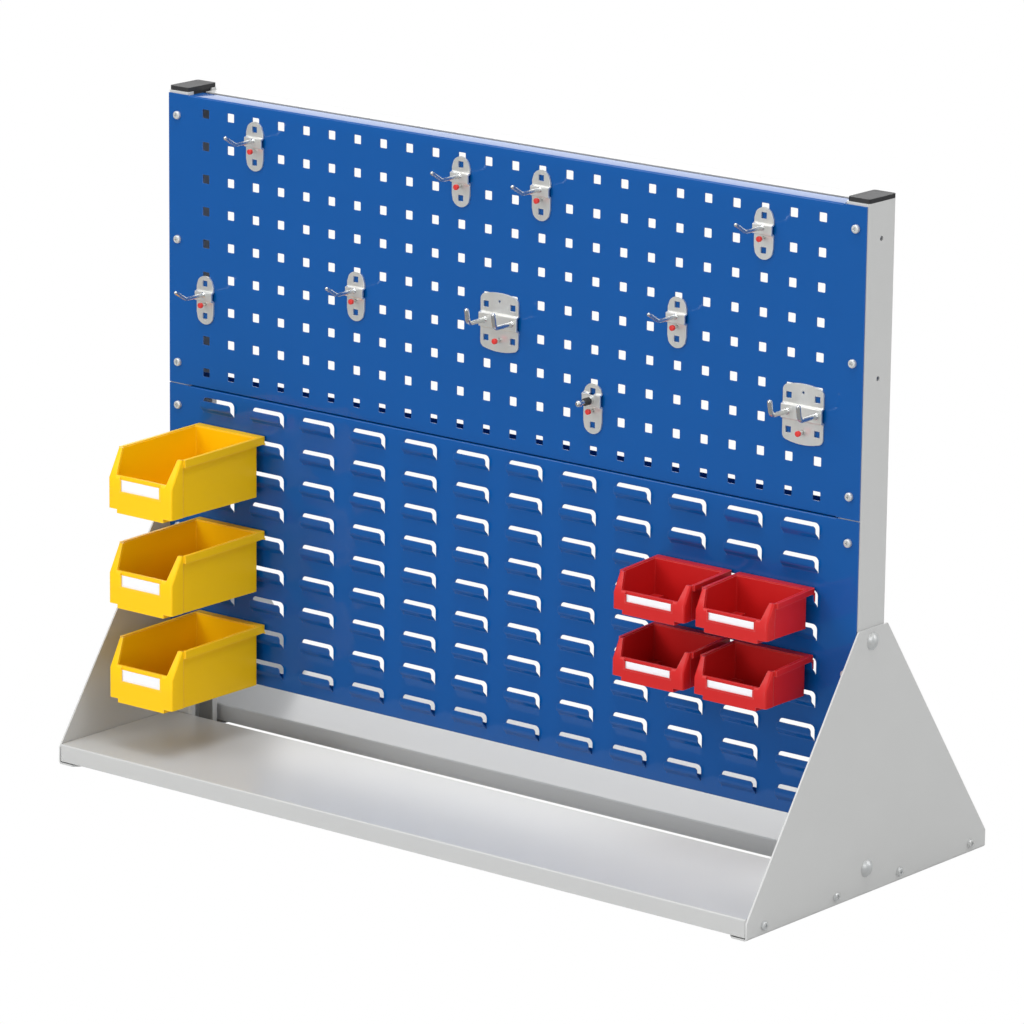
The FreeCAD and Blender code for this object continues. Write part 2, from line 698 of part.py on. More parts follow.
def holder_plate(name, width, top, height, columns, ridge_low, ridge_height, lock_height):
    """Pressed plate with a ridge across it, and tabs pushed back out of square windows."""
    body = new_body(name)
    bottom = f"({top} - {height})"
    low = f"({LOWER_HOLE} + {ridge_low})"
    high = f"({low} + {ridge_height})"
    front = "-dims.plate_gauge"
    side_view = [
        (front, bottom),
        (front, low),
        (f"-{RIDGE_FACE}", f"{low} + dims.ridge_slope"),
        (f"-{RIDGE_FACE}", f"{high} - dims.ridge_slope"),
        (front, high),
        (front, top),
        ("0", top),
        ("0", f"{high} - dims.ridge_wall"),
        ("-dims.ridge_rise", f"{high} - dims.ridge_slope - dims.ridge_wall"),
        ("-dims.ridge_rise", f"{low} + dims.ridge_slope + dims.ridge_wall"),
        ("0", f"{low} + dims.ridge_wall"),
        ("0", bottom),
    ]
    prism(body, f"{name}_sheet", "YZ_Plane", side_view, width, symmetric=True)
    windows = new_sketch(body, f"{name}_windows", "XZ_Plane")
    for column in columns:
        for row in ("0", LOWER_HOLE):
            window_top = f"{row} - dims.peg_hole / 2 + dims.tab_play"
            add_outline(windows, rectangle(f"{column} - dims.tab_width / 2", f"{column} + dims.tab_width / 2",
                                           f"{window_top} - dims.tab_window", window_top))
    add_circle(windows, "0", lock_height, "dims.lock_shank + dims.lock_hole_clearance")
    pocket(body, windows)
    behind = "dims.panel_gauge + dims.tab_play"
    for number, column in enumerate(columns):
        for level, row in (("upper", "0"), ("lower", LOWER_HOLE)):
            seat = f"{row} - dims.peg_hole / 2 + dims.tab_play"
            hook = [
                (front, seat),
                (behind, seat),
                (behind, f"{seat} - dims.tab_hook"),
                (f"{behind} + dims.plate_gauge", f"{seat} - dims.tab_hook"),
                (f"{behind} + dims.plate_gauge", f"{seat} + dims.plate_gauge"),
                (front, f"{seat} + dims.plate_gauge"),
            ]
            prism(body, f"{name}_{level}_tab_{number}", "YZ_Plane", hook, "dims.tab_width",
                  lift=column, symmetric=True)
    return body


def round_end(body, width, end, way):
    """Cut one end of a plate to a half circle: way is 1 for the top and -1 for the bottom."""
    radius = f"({width} / 2)"
    outside = f"({width} / 2 + 2)"
    centre = f"({end} - {way} * {width} / 2)"
    beyond = f"({end} + {way} * 2)"
    corners = [
        (f"-{radius}", centre),
        (f"-{outside}", centre),
        (f"-{outside}", beyond),
        (outside, beyond),
        (outside, centre),
        (radius, centre),
    ]
    sketch = new_sketch(body, f"{body.Name}_{'top' if way > 0 else 'bottom'}_end", "XZ_Plane")
    places = [Vector(size(x), size(y), 0) for x, y in corners]
    for k in range(5):
        sketch.addGeometry(Part.LineSegment(places[k], places[k + 1]), False)
        fix_point(sketch, k, 1, *corners[k])
        if k:
            sketch.addConstraint(Sketcher.Constraint("Coincident", k - 1, 2, k, 1))
    fix_point(sketch, 4, 2, *corners[5])
    circle = Part.Circle(Vector(0, size(centre), 0), Vector(0, 0, 1), size(radius))
    begin = 0 if way > 0 else math.pi
    sketch.addGeometry(Part.ArcOfCircle(circle, begin, begin + math.pi), False)
    right, left = (1, 2) if way > 0 else (2, 1)
    sketch.addConstraint(Sketcher.Constraint("Coincident", 5, right, 4, 2))
    sketch.addConstraint(Sketcher.Constraint("Coincident", 5, left, 0, 1))
    number = sketch.addConstraint(Sketcher.Constraint("DistanceY", -1, 1, 5, 3, size(centre)))
    bind(sketch, f"Constraints[{number}]", centre)
    pocket(body, sketch)


def round_wire(body, name, diameter, across, height, reach, bend, tip, angle):
    """Wire that runs forwards from the ridge and turns up once: a circle along a line, arc and line."""
    start = f"-{RIDGE_FACE}"
    corner = f"({start} - {reach})"
    taken = f"({bend} * tan({angle} / 2))"
    path = new_sketch(body, f"{name}_path", "YZ_Plane", across)
    arc_start = (f"{corner} + {taken}", height)
    arc_end = (f"{corner} - {taken} * cos({angle})", f"{height} + {taken} * sin({angle})")
    wire_end = (f"{corner} - {tip} * cos({angle})", f"{height} + {tip} * sin({angle})")
    places = [Vector(size(x), size(y), 0) for x, y in ((start, height), arc_start, arc_end, wire_end)]
    path.addGeometry(Part.LineSegment(places[0], places[1]), False)
    centre = Vector(places[1].x, places[1].y + size(bend), 0)
    circle = Part.Circle(centre, Vector(0, 0, 1), size(bend))
    turn = math.radians(size(angle))
    path.addGeometry(Part.ArcOfCircle(circle, 1.5 * math.pi - turn, 1.5 * math.pi), False)
    path.addGeometry(Part.LineSegment(places[2], places[3]), False)
    fix_point(path, 0, 1, start, height)
    fix_point(path, 0, 2, *arc_start)
    fix_point(path, 2, 1, *arc_end)
    fix_point(path, 2, 2, *wire_end)
    path.addConstraint(Sketcher.Constraint("Coincident", 0, 2, 1, 2))
    path.addConstraint(Sketcher.Constraint("Coincident", 2, 1, 1, 1))
    number = path.addConstraint(Sketcher.Constraint("DistanceX", -1, 1, 1, 3, size(arc_start[0])))
    bind(path, f"Constraints[{number}]", arc_start[0])
    section = new_sketch(body, f"{name}_section", "XZ_Plane", RIDGE_FACE)
    add_circle(section, across, height, diameter)
    doc.recompute()
    pipe = body.newObject("PartDesign::AdditivePipe", f"{name}_pipe")
    pipe.Profile = section
    pipe.Spine = path


def round_ends(body, name, radius, depth):
    """Round the rims of the round end that lies at a depth in front of the panel."""
    def rim(middle, direction):
        return near(middle.y, f"-({depth})")

    round_edges(body, name, radius, rim, curve="Part::GeomCircle")


def hang(master, label, column, row):
    """Place a copy of a holder piece at a hole of the panel, counted from the top left."""
    link = doc.addObject("App::Link", f"{label}_link")
    link.LinkedObject = master
    keep(link, label, x=f"{FIRST_COLUMN} + ({column} - 1) * dims.peg_pitch", y=FACE,
         z=f"{FIRST_ROW} - ({row} - 1) * dims.peg_pitch")


single_lock = f"({LOWER_HOLE} + dims.lock_above_lower_hole)"
single_ridge_middle = f"({LOWER_HOLE} + dims.ridge_above_lower_hole + dims.ridge_height / 2)"
single_plate = holder_plate("single_plate", "dims.plate_width", "dims.plate_above_hole", "dims.plate_height",
                            ("0",), "dims.ridge_above_lower_hole", "dims.ridge_height", single_lock)
round_end(single_plate, "dims.plate_width", "dims.plate_above_hole", 1)
round_end(single_plate, "dims.plate_width", "(dims.plate_above_hole - dims.plate_height)", -1)
single_wire = new_body("single_wire")
round_wire(single_wire, "hook", "dims.wire", "0", f"{single_ridge_middle} + dims.wire_above_ridge_middle",
           "dims.wire_reach", "dims.wire_bend", "dims.wire_tip", "dims.wire_tip_angle")

stud_lock = f"({LOWER_HOLE} + dims.stud_lock_above_lower_hole)"
stud_height = f"({LOWER_HOLE} + dims.stud_ridge_above_lower_hole + dims.stud_ridge_height / 2)"
stud_plate = holder_plate("stud_plate", "dims.plate_width", "dims.plate_above_hole", "dims.plate_height",
                          ("0",), "dims.stud_ridge_above_lower_hole", "dims.stud_ridge_height", stud_lock)
round_end(stud_plate, "dims.plate_width", "dims.plate_above_hole", 1)
round_end(stud_plate, "dims.plate_width", "(dims.plate_above_hole - dims.plate_height)", -1)

DOUBLE_COLUMNS = ("(-dims.peg_pitch / 2)", "(dims.peg_pitch / 2)")
double_lock = f"({LOWER_HOLE} - dims.double_lock_below_lower_hole)"
double_ridge_middle = f"({LOWER_HOLE} + dims.double_ridge_above_lower_hole + dims.double_ridge_height / 2)"
double_plate = holder_plate("double_plate", "dims.double_width", "dims.double_top", "dims.double_height",
                            DOUBLE_COLUMNS, "dims.double_ridge_above_lower_hole", "dims.double_ridge_height",
                            double_lock)
for end, centre in (("top", "dims.double_top - dims.double_bow_radius"),
                    ("bottom", "dims.double_top - dims.double_height + dims.double_bow_radius")):
    bow = new_sketch(double_plate, f"double_{end}_bow", "XZ_Plane")
    around = "(3 * dims.double_bow_radius)"
    add_outline(bow, rectangle(f"-{around}", around, f"-{around}", around))
    add_circle(bow, "0", centre, "2 * dims.double_bow_radius")
    pocket(double_plate, bow)
drill(double_plate, "double_eye", "XZ_Plane", [("0", "-dims.double_eye")], "dims.double_eye")


def double_corner_edge(middle, direction):
    return abs(direction.y) > 0.99 and near(abs(middle.x), "dims.double_width / 2")


round_edges(double_plate, "double_corners", "dims.double_corner", double_corner_edge)

double_wires = [new_body(f"double_wire_{side}") for side, sign in SIDES]
for wire_body, column in zip(double_wires, DOUBLE_COLUMNS):
    round_wire(wire_body, wire_body.Name, "dims.double_wire", column, double_ridge_middle,
               "dims.double_wire_reach", "dims.double_wire_bend", "dims.double_wire_tip",
               "dims.double_wire_tip_angle")
wire_pair = doc.addObject("Part::Compound", "double_wire_pair")
wire_pair.Links = double_wires

# Stud holder: a zinc stud with a collar and a knob, and a rubber sleeve between them.
stud = new_body("stud")
collar = new_sketch(stud, "stud_collar", "XZ_Plane", RIDGE_FACE)
add_circle(collar, "0", stud_height, "dims.stud_collar")
pad(stud, collar, "dims.stud_collar_length")
rod = new_sketch(stud, "stud_rod", "XZ_Plane", RIDGE_FACE)
add_circle(rod, "0", stud_height, "dims.stud_diameter")
pad(stud, rod, "dims.stud_reach")
knob = new_sketch(stud, "stud_knob", "XZ_Plane", f"{RIDGE_FACE} + dims.stud_reach - dims.stud_knob_length")
add_circle(knob, "0", stud_height, "dims.stud_knob")
pad(stud, knob, "dims.stud_knob_length")
round_ends(stud, "stud_knob_end", "dims.stud_knob_edge", f"{RIDGE_FACE} + dims.stud_reach")
sleeve = new_body("stud_sleeve_ring")
ring = new_sketch(sleeve, "sleeve_ring", "XZ_Plane", f"{RIDGE_FACE} + dims.stud_collar_length")
add_circle(ring, "0", stud_height, "dims.stud_sleeve")
add_circle(ring, "0", stud_height, "dims.stud_diameter")
pad(sleeve, ring, "dims.stud_sleeve_length")


def lock_screw(name, height):
    """Locking screw: a thin shank that bears on the panel, under a round moulded cap."""
    screw = new_body(name)
    shank = new_sketch(screw, f"{name}_shank", "XZ_Plane", "dims.lock_seat")
    add_circle(shank, "0", height, "dims.lock_shank")
    pad(screw, shank, "dims.lock_reach - dims.lock_seat - dims.lock_cap_edge")
    cap = new_sketch(screw, f"{name}_cap", "XZ_Plane", "dims.lock_reach - dims.lock_cap_length")
    add_circle(cap, "0", height, "dims.lock_cap")
    pad(screw, cap, "dims.lock_cap_length")
    round_ends(screw, f"{name}_cap_edge", "dims.lock_cap_edge", "dims.lock_reach")
    return screw


single_screw = lock_screw("single_screw", single_lock)
double_screw = lock_screw("double_screw", double_lock)
stud_screw = lock_screw("stud_screw", stud_lock)

# Columns and upper rows of the holes that the holders hang in.
SINGLE_HOLES = ((3, 1), (11, 1), (14, 1), (22, 1), (1, 6), (7, 5), (19, 4))
DOUBLE_HOLES = ((12.5, 5), (23.5, 6))
STUD_HOLE = (16, 7)
for number, hole in enumerate(SINGLE_HOLES, start=1):
    hang(single_plate, f"hook_{number}_plate", *hole)
    hang(single_wire, f"hook_{number}_wire", *hole)
    hang(single_screw, f"hook_{number}_lock_screw", *hole)
for number, hole in enumerate(DOUBLE_HOLES, start=1):
    hang(double_plate, f"double_hook_{number}_plate", *hole)
    hang(wire_pair, f"double_hook_{number}_wires", *hole)
    hang(double_screw, f"double_hook_{number}_lock_screw", *hole)
hang(stud_plate, "stud_holder_plate", *STUD_HOLE)
hang(stud, "stud_holder_stud", *STUD_HOLE)
hang(sleeve, "stud_holder_sleeve", *STUD_HOLE)
hang(stud_screw, "stud_holder_lock_screw", *STUD_HOLE)


# Bins, drawn with X = 0 on the middle, Y = 0 on the face of the panel and Z = 0 on the
# top of the rear rim. The rim's lip drops behind a louvre tab, and a rib below it
# bears on the front of the next tab down.
def open_bin(kind):
    """Open-fronted stacking bin: shell, rim, foot, cheeks, card holder and hanging lip."""
    body = new_body(f"{kind}_bin")
    length, height = f"dims.{kind}_length", f"dims.{kind}_height"
    rim, fall = f"dims.{kind}_rim", f"dims.{kind}_rim_fall"
    foot = f"dims.{kind}_foot"
    rear = "-dims.bin_rear_gap"
    floor = f"-({height} - {foot})"
    corner = f"-({height} - dims.{kind}_front_height)"
    slant = f"dims.{kind}_slant_run"
    rim_front = f"-({length} - {slant})"
    side = "(dims.bin_width / 2 - dims.bin_rim_overhang)"
    panel_side = f"({side} - dims.bin_recess)"
    inside = f"({panel_side} - dims.bin_wall)"
    shell = [
        (rear, "0"),
        (rim_front, f"-{fall}"),
        (f"-{length}", corner),
        (f"-{length}", floor),
        (rear, floor),
    ]
    prism(body, f"{kind}_shell", "YZ_Plane", shell, f"2 * {panel_side}", symmetric=True)
    post_back = f"({rim_front} - dims.bin_post_inset)"
    post_top = f"-{fall} + (({corner}) + {fall}) * dims.bin_post_inset / {slant}"
    post = [
        (post_back, floor),
        (post_back, post_top),
        (f"-{length}", corner),
        (f"-{length}", floor),
    ]
    prism(body, f"{kind}_post", "YZ_Plane", post, f"2 * {side}", symmetric=True)
    lip_front = "-(dims.bin_lip_gap + dims.bin_lip)"
    rim_side = [
        ("-dims.bin_lip_gap", "0"),
        (rim_front, f"-{fall}"),
        (rim_front, f"-{fall} - {rim}"),
        (lip_front, f"-{rim}"),
        (lip_front, f"-({rim} + dims.bin_lip_engagement)"),
        ("-dims.bin_lip_gap", f"-({rim} + dims.bin_lip_engagement)"),
    ]
    prism(body, f"{kind}_rim", "YZ_Plane", rim_side, "dims.bin_width", symmetric=True)
    foot_side = f"({side} - dims.bin_foot_inset)"
    prism(body, f"{kind}_foot", "XY_Plane", rectangle(f"-{foot_side}", foot_side, f"-{length}", rear), foot,
          lift=f"-{height}")
    stop_middle = f"-({rim} + dims.bin_seat + dims.louvre_pitch_down + dims.bin_stop_drop)"
    stop = rectangle(
        "-(dims.bin_width / 2 - dims.bin_stop_inset)",
        "dims.bin_width / 2 - dims.bin_stop_inset",
        f"{stop_middle} - dims.bin_stop_height / 2",
        f"{stop_middle} + dims.bin_stop_height / 2",
    )
    prism(body, f"{kind}_stop", "XZ_Plane", stop,
          "dims.bin_rear_gap - dims.louvre_stand_off - dims.bin_stop_gap + dims.bin_wall / 2",
          lift="dims.louvre_stand_off + dims.bin_stop_gap")
    above = "dims.bin_wall"
    cavity_rear = f"({rear} - dims.bin_wall)"
    cavity_front = f"(-{length} + dims.bin_front_wall)"
    cavity = [
        (cavity_rear, above),
        (cavity_rear, f"{floor} + dims.bin_wall"),
        (cavity_front, f"{floor} + dims.bin_wall"),
        (cavity_front, corner),
        (f"{rim_front} + dims.bin_front_wall", f"-{fall}"),
        (f"{rim_front} + dims.bin_front_wall", above),
    ]
    slot(body, f"{kind}_cavity", "YZ_Plane", cavity, f"2 * {inside}", symmetric=True)
    well_side = f"({foot_side} - dims.bin_wall)"
    slot(body, f"{kind}_well", "XY_Plane", rectangle(f"-{well_side}", well_side, cavity_front, cavity_rear),
         foot, lift=f"-{height} + dims.bin_wall", reverse=True)
    mouth_side = f"({side} - dims.bin_cheek)"
    sill = f"({corner} + dims.{kind}_opening_lift)"
    slot(body, f"{kind}_mouth", "XZ_Plane", rectangle(f"-{mouth_side}", mouth_side, sill, above),
         f"{slant} + 2 * dims.bin_front_wall", lift=length)
    card_bottom = f"({corner} - dims.card_drop - dims.{kind}_card_height - dims.card_play)"
    slot_side = f"(dims.{kind}_card_width / 2 + dims.card_play)"
    slot(body, f"{kind}_card_slot", "XZ_Plane", rectangle(f"-{slot_side}", slot_side, card_bottom, sill),
         "dims.card_thickness + 2 * dims.card_play", lift=f"{length} - dims.card_lip")
    window_side = f"(dims.{kind}_card_width / 2 - dims.card_overlap)"
    slot(body, f"{kind}_card_window", "XZ_Plane",
         rectangle(f"-{window_side}", window_side, f"{card_bottom} + dims.card_overlap", sill),
         "dims.card_lip + dims.card_play", lift=length)

    def front_corner(middle, direction):
        return abs(direction.z) > 0.9 and near(abs(middle.x), side) and near(middle.y, f"-{length}")

    round_edges(body, f"{kind}_corners", "dims.bin_corner", front_corner)
    return body


def label_card(kind):
    """Card in the holder on the front of a bin."""
    card = new_body(f"{kind}_card")
    corner = f"-(dims.{kind}_height - dims.{kind}_front_height)"
    half = f"dims.{kind}_card_width / 2"
    top = f"({corner} - dims.card_drop)"
    outline = rectangle(f"-{half}", half, f"{top} - dims.{kind}_card_height", top)
    depth = f"dims.{kind}_length - dims.card_lip - dims.card_play"
    prism(card, f"{kind}_card_sheet", "XZ_Plane", outline, "dims.card_thickness", lift=depth, reverse=True)
    return card


BINS = (
    ("yellow_bin_1", "long", "dims.yellow_centre", 2),
    ("yellow_bin_2", "long", "dims.yellow_centre", 5),
    ("yellow_bin_3", "long", "dims.yellow_centre", 8),
    ("red_bin_1", "short", "dims.red_left_centre", 3),
    ("red_bin_2", "short", "dims.red_right_centre", 3),
    ("red_bin_3", "short", "dims.red_left_centre", 5),
    ("red_bin_4", "short", "dims.red_right_centre", 5),
)
masters = {kind: (open_bin(kind), label_card(kind)) for kind in ("long", "short")}
for name, kind, centre, row in BINS:
    tab_top = f"{SLOT_TOP} - ({row} - 1) * dims.louvre_pitch_down - dims.louvre_tab_drop"
    for master, label in zip(masters[kind], (name, f"{name}_card")):
        link = doc.addObject("App::Link", f"{label}_link")
        link.LinkedObject = master
        keep(link, label, x=centre, y=FACE, z=f"{tab_top} + dims.{kind}_rim + dims.bin_seat")

doc.recompute()
for thing in doc.Objects:
    if "Invalid" in thing.State or "Error" in thing.State:
        raise RuntimeError(f"{thing.Name} did not build")
shapes = {piece.Label: Part.getShape(piece) for piece in pieces}
for label, shape in shapes.items():
    if shape.isNull() or not shape.isValid() or not shape.Solids:
        raise RuntimeError(f"{label} has no valid solid")
for label, shape in shapes.items():
    shape.exportStep(f"parts/{label}.step")
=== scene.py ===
import math

import bmesh
import bpy
import numpy as np
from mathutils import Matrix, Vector


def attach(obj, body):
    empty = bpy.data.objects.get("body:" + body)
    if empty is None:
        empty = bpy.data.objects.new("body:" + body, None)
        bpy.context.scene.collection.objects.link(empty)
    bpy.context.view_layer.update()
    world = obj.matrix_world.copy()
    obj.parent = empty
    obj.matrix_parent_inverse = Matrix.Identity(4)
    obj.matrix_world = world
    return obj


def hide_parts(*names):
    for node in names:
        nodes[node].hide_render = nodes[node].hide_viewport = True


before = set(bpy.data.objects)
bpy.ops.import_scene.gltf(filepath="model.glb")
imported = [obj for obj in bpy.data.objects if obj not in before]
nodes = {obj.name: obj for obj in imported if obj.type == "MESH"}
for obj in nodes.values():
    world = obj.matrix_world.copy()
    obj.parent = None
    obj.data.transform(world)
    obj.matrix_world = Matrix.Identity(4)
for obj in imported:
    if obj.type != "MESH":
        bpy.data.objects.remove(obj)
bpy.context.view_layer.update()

# Frame: two folded C-section uprights in flanged steel feet, tied by two trays below and a rail behind
# the top. It is sheet steel with a light grey powder coat, screwed and bolted together. The CAD nodes
# stay, with clean flat faces, rounded edges and the paint.


def shader_group(name, inputs, outputs):
    """Empty node group with its sockets. Returns the group, its input sockets, its result sockets, and
    the place of the shaded point in the object's own axes, in metres."""
    group = bpy.data.node_groups.new(name, "ShaderNodeTree")
    for socket, kind, value in inputs:
        item = group.interface.new_socket(socket, in_out="INPUT", socket_type=f"NodeSocket{kind}")
        item.default_value = value
    for socket, kind in outputs:
        group.interface.new_socket(socket, in_out="OUTPUT", socket_type=f"NodeSocket{kind}")
    start = group.nodes.new("NodeGroupInput")
    end = group.nodes.new("NodeGroupOutput")
    place = group.nodes.new("ShaderNodeTexCoord")
    return group, start.outputs, end.inputs, place.outputs["Object"]


def noise(tree, place, scale, detail, roughness=0.5):
    """Cloudy value near 0.5. After the first, each of detail octaves has twice the frequency of the one
    before it, and roughness times its height."""
    node = tree.nodes.new("ShaderNodeTexNoise")
    node.inputs["Detail"].default_value = detail
    node.inputs["Roughness"].default_value = roughness
    node.inputs["Scale"].default_value = scale
    tree.links.new(place, node.inputs["Vector"])
    return node.outputs["Fac"]


def bump(tree, height, strength, distance, normal=None):
    """Normal turned by the slope of height times distance, in the share given by the strength socket."""
    node = tree.nodes.new("ShaderNodeBump")
    node.inputs["Distance"].default_value = distance
    tree.links.new(height, node.inputs["Height"])
    tree.links.new(strength, node.inputs["Strength"])
    if normal is not None:
        tree.links.new(normal, node.inputs["Normal"])
    return node.outputs["Normal"]


# Powder coat: fine orange peel over a long, faint waviness of the sheet below it.
coat_skin, given, result, place = shader_group(
    "coat_skin", [("Peel", "Float", 0.1), ("Wave", "Float", 0.1)], [("Normal", "Vector")])
waves = bump(coat_skin, noise(coat_skin, place, 9, 1), given["Wave"], 0.004)
peel = bump(coat_skin, noise(coat_skin, place, 900, 2), given["Peel"], 0.0003, waves)
coat_skin.links.new(peel, result["Normal"])

# Tone: slow drift of a colour's lightness, a painted highlight that mixes rounded edges towards white,
# and smudges where hands and cloths have changed the gloss. An edge is where the normal rounded over
# 0.7 mm leaves the flat one.
tone, given, result, place = shader_group(
    "tone", [("Color", "Color", (0.5, 0.5, 0.5, 1)), ("Drift", "Float", 0.06), ("Edge", "Float", 0.1),
             ("Roughness", "Float", 0.3), ("Smudge", "Float", 0.1)],
    [("Color", "Color"), ("Roughness", "Float")])
streaks = tone.nodes.new("ShaderNodeMapping")
streaks.inputs["Scale"].default_value = (1, 1, 0.35)
tone.links.new(place, streaks.inputs["Vector"])
gloss = tone.nodes.new("ShaderNodeMath")
gloss.operation = "MULTIPLY_ADD"
tone.links.new(noise(tone, streaks.outputs["Vector"], 32, 5, 0.6), gloss.inputs[0])
tone.links.new(given["Smudge"], gloss.inputs[1])
tone.links.new(given["Roughness"], gloss.inputs[2])
tone.links.new(gloss.outputs[0], result["Roughness"])
cloud = noise(tone, place, 14, 3)
spread = tone.nodes.new("ShaderNodeMath")
spread.operation = "MULTIPLY_ADD"
tone.links.new(cloud, spread.inputs[0])
tone.links.new(given["Drift"], spread.inputs[1])
spread.inputs[2].default_value = 1
level = tone.nodes.new("ShaderNodeHueSaturation")
tone.links.new(spread.outputs[0], level.inputs["Value"])
tone.links.new(given["Color"], level.inputs["Color"])
# Painted highlight: rounded edges are mixed towards white, in the share given by the edge highlight
# input.
rounding = tone.nodes.new("ShaderNodeBevel")
rounding.samples = 4
rounding.inputs["Radius"].default_value = 0.0007
flat = tone.nodes.new("ShaderNodeNewGeometry")
facing = tone.nodes.new("ShaderNodeVectorMath")
facing.operation = "DOT_PRODUCT"
tone.links.new(rounding.outputs["Normal"], facing.inputs[0])
tone.links.new(flat.outputs["Normal"], facing.inputs[1])
edge = tone.nodes.new("ShaderNodeMapRange")
edge.inputs["From Min"].default_value = 1
edge.inputs["From Max"].default_value = 0.8
tone.links.new(facing.outputs["Value"], edge.inputs["Value"])
share = tone.nodes.new("ShaderNodeMath")
share.operation = "MULTIPLY"
tone.links.new(edge.outputs["Result"], share.inputs[0])
tone.links.new(given["Edge"], share.inputs[1])
lit = tone.nodes.new("ShaderNodeMix")
lit.data_type = "RGBA"
lit.inputs["B"].default_value = (1, 1, 1, 1)
tone.links.new(share.outputs[0], lit.inputs["Factor"])
tone.links.new(level.outputs["Color"], lit.inputs["A"])
tone.links.new(lit.outputs["Result"], result["Color"])


def coated(name, color, peel, wave, drift=0.06, edge=0.1, smudge=0.12, rough=0.4, **values):
    """Principled material: colour and roughness come through the tone group, and the normal through the
    coat's skin. edge is the share of the tone group's painted edge highlight. Roughness runs from rough
    less half the smudge to rough plus half of it."""
    made = bpy.data.materials.new(name)
    made.use_nodes = True
    made.diffuse_color = (*color, 1)
    tree = made.node_tree
    shader = tree.nodes["Principled BSDF"]
    for socket, value in values.items():
        shader.inputs[socket.replace("_", " ")].default_value = value
    tint = tree.nodes.new("ShaderNodeGroup")
    tint.name = "tint"
    tint.node_tree = tone
    tint.inputs["Color"].default_value = (*color, 1)
    tint.inputs["Drift"].default_value = drift
    tint.inputs["Edge"].default_value = edge
    tint.inputs["Roughness"].default_value = rough - smudge / 2
    tint.inputs["Smudge"].default_value = smudge
    skin = tree.nodes.new("ShaderNodeGroup")
    skin.node_tree = coat_skin
    skin.inputs["Peel"].default_value = peel
    skin.inputs["Wave"].default_value = wave
    tree.links.new(tint.outputs["Color"], shader.inputs["Base Color"])
    tree.links.new(tint.outputs["Roughness"], shader.inputs["Roughness"])
    tree.links.new(skin.outputs["Normal"], shader.inputs["Normal"])
    return made


def soften(thing, edge, segments=2, angle=40):
    """Round every edge that turns by more than angle degrees, in segments facets. The rounding starts
    edge millimetres from the sharp edge on both faces."""
    round_off = thing.modifiers.new("soften", "BEVEL")
    round_off.width = edge / 1000
    round_off.segments = segments
    round_off.limit_method = "ANGLE"
    round_off.angle_limit = math.radians(angle)
    round_off.harden_normals = True


def dress(names, paint, edge=0.4):
    """CAD nodes: faces that lie within 1 degree of one plane become one face, edges are rounded edge
    millimetres wide, and normals lean to the larger face."""
    for name in names:
        thing = nodes[name]
        thing.data.materials.clear()
        thing.data.materials.append(paint)
        weld = thing.modifiers.new("weld", "WELD")
        weld.merge_threshold = 1e-6
        merge = thing.modifiers.new("merge", "DECIMATE")
        merge.decimate_type = "DISSOLVE"
        merge.angle_limit = math.radians(1)
        soften(thing, edge)
        even = thing.modifiers.new("even", "WEIGHTED_NORMAL")
        even.keep_sharp = True
        thing.data.shade_smooth()
        thing.data.set_sharp_from_angle(angle=math.radians(35))


grey_paint = coated("grey_paint", (0.51, 0.515, 0.51), 0.25, 0.15, drift=0.04, edge=0.25, rough=0.29,
                    smudge=0.025, Specular_IOR_Level=0.5)
dress(("left_upright", "right_upright", "left_gusset", "right_gusset", "front_shelf", "rear_shelf",
       "rear_top_rail"), grey_paint, 0.5)

# Caps: moulded plugs of hard black plastic, pushed into the open tops of the uprights. Each has a flat
# lid that covers the channel's end.
black_plastic = coated("black_plastic", (0.022, 0.022, 0.024), 0.5, 0.05, drift=0.1, edge=0.04,
                       rough=0.5)
dress(("left_cap", "right_cap"), black_plastic)

# Fasteners: cup-head bolts with nuts that clamp the uprights into the feet, and pan-head screws for the
# trays, the rail and the panels. They are turned and pressed steel, plated with dull zinc.

# Bloom: the warm and cool clouds of a passivated zinc plating, over a fine rolled grain.
bloom, given, result, place = shader_group(
    "bloom", [("Color", "Color", (0.7, 0.7, 0.7, 1)), ("Strength", "Float", 0.5)], [("Color", "Color")])
clouds = bloom.nodes.new("ShaderNodeMix")
clouds.data_type = "RGBA"
clouds.inputs["A"].default_value = (1.0, 0.94, 0.84, 1)
clouds.inputs["B"].default_value = (0.84, 0.94, 1.0, 1)
bloom.links.new(noise(bloom, place, 55, 3, 0.6), clouds.inputs["Factor"])
grain = bloom.nodes.new("ShaderNodeMapping")
grain.inputs["Scale"].default_value = (1, 1, 0.04)
bloom.links.new(place, grain.inputs["Vector"])
rolled = bloom.nodes.new("ShaderNodeMix")
rolled.data_type = "RGBA"
rolled.inputs["A"].default_value = (0.9, 0.9, 0.9, 1)
rolled.inputs["B"].default_value = (1.1, 1.1, 1.1, 1)
bloom.links.new(noise(bloom, grain.outputs["Vector"], 1400, 1), rolled.inputs["Factor"])
below = given["Color"]
for layer in (clouds, rolled):
    stain = bloom.nodes.new("ShaderNodeMix")
    stain.data_type = "RGBA"
    stain.blend_type = "MULTIPLY"
    bloom.links.new(given["Strength"], stain.inputs["Factor"])
    bloom.links.new(below, stain.inputs["A"])
    bloom.links.new(layer.outputs["Result"], stain.inputs["B"])
    below = stain.outputs["Result"]
bloom.links.new(below, result["Color"])


def plated(name, color, strength, peel, wave, **values):
    """Coated material whose colour is first multiplied by the bloom group's clouds and grain."""
    made = coated(name, color, peel, wave, **values)
    tree = made.node_tree
    stained = tree.nodes.new("ShaderNodeGroup")
    stained.node_tree = bloom
    stained.inputs["Color"].default_value = (*color, 1)
    stained.inputs["Strength"].default_value = strength
    tree.links.new(stained.outputs["Color"], tree.nodes["tint"].inputs["Color"])
    return made


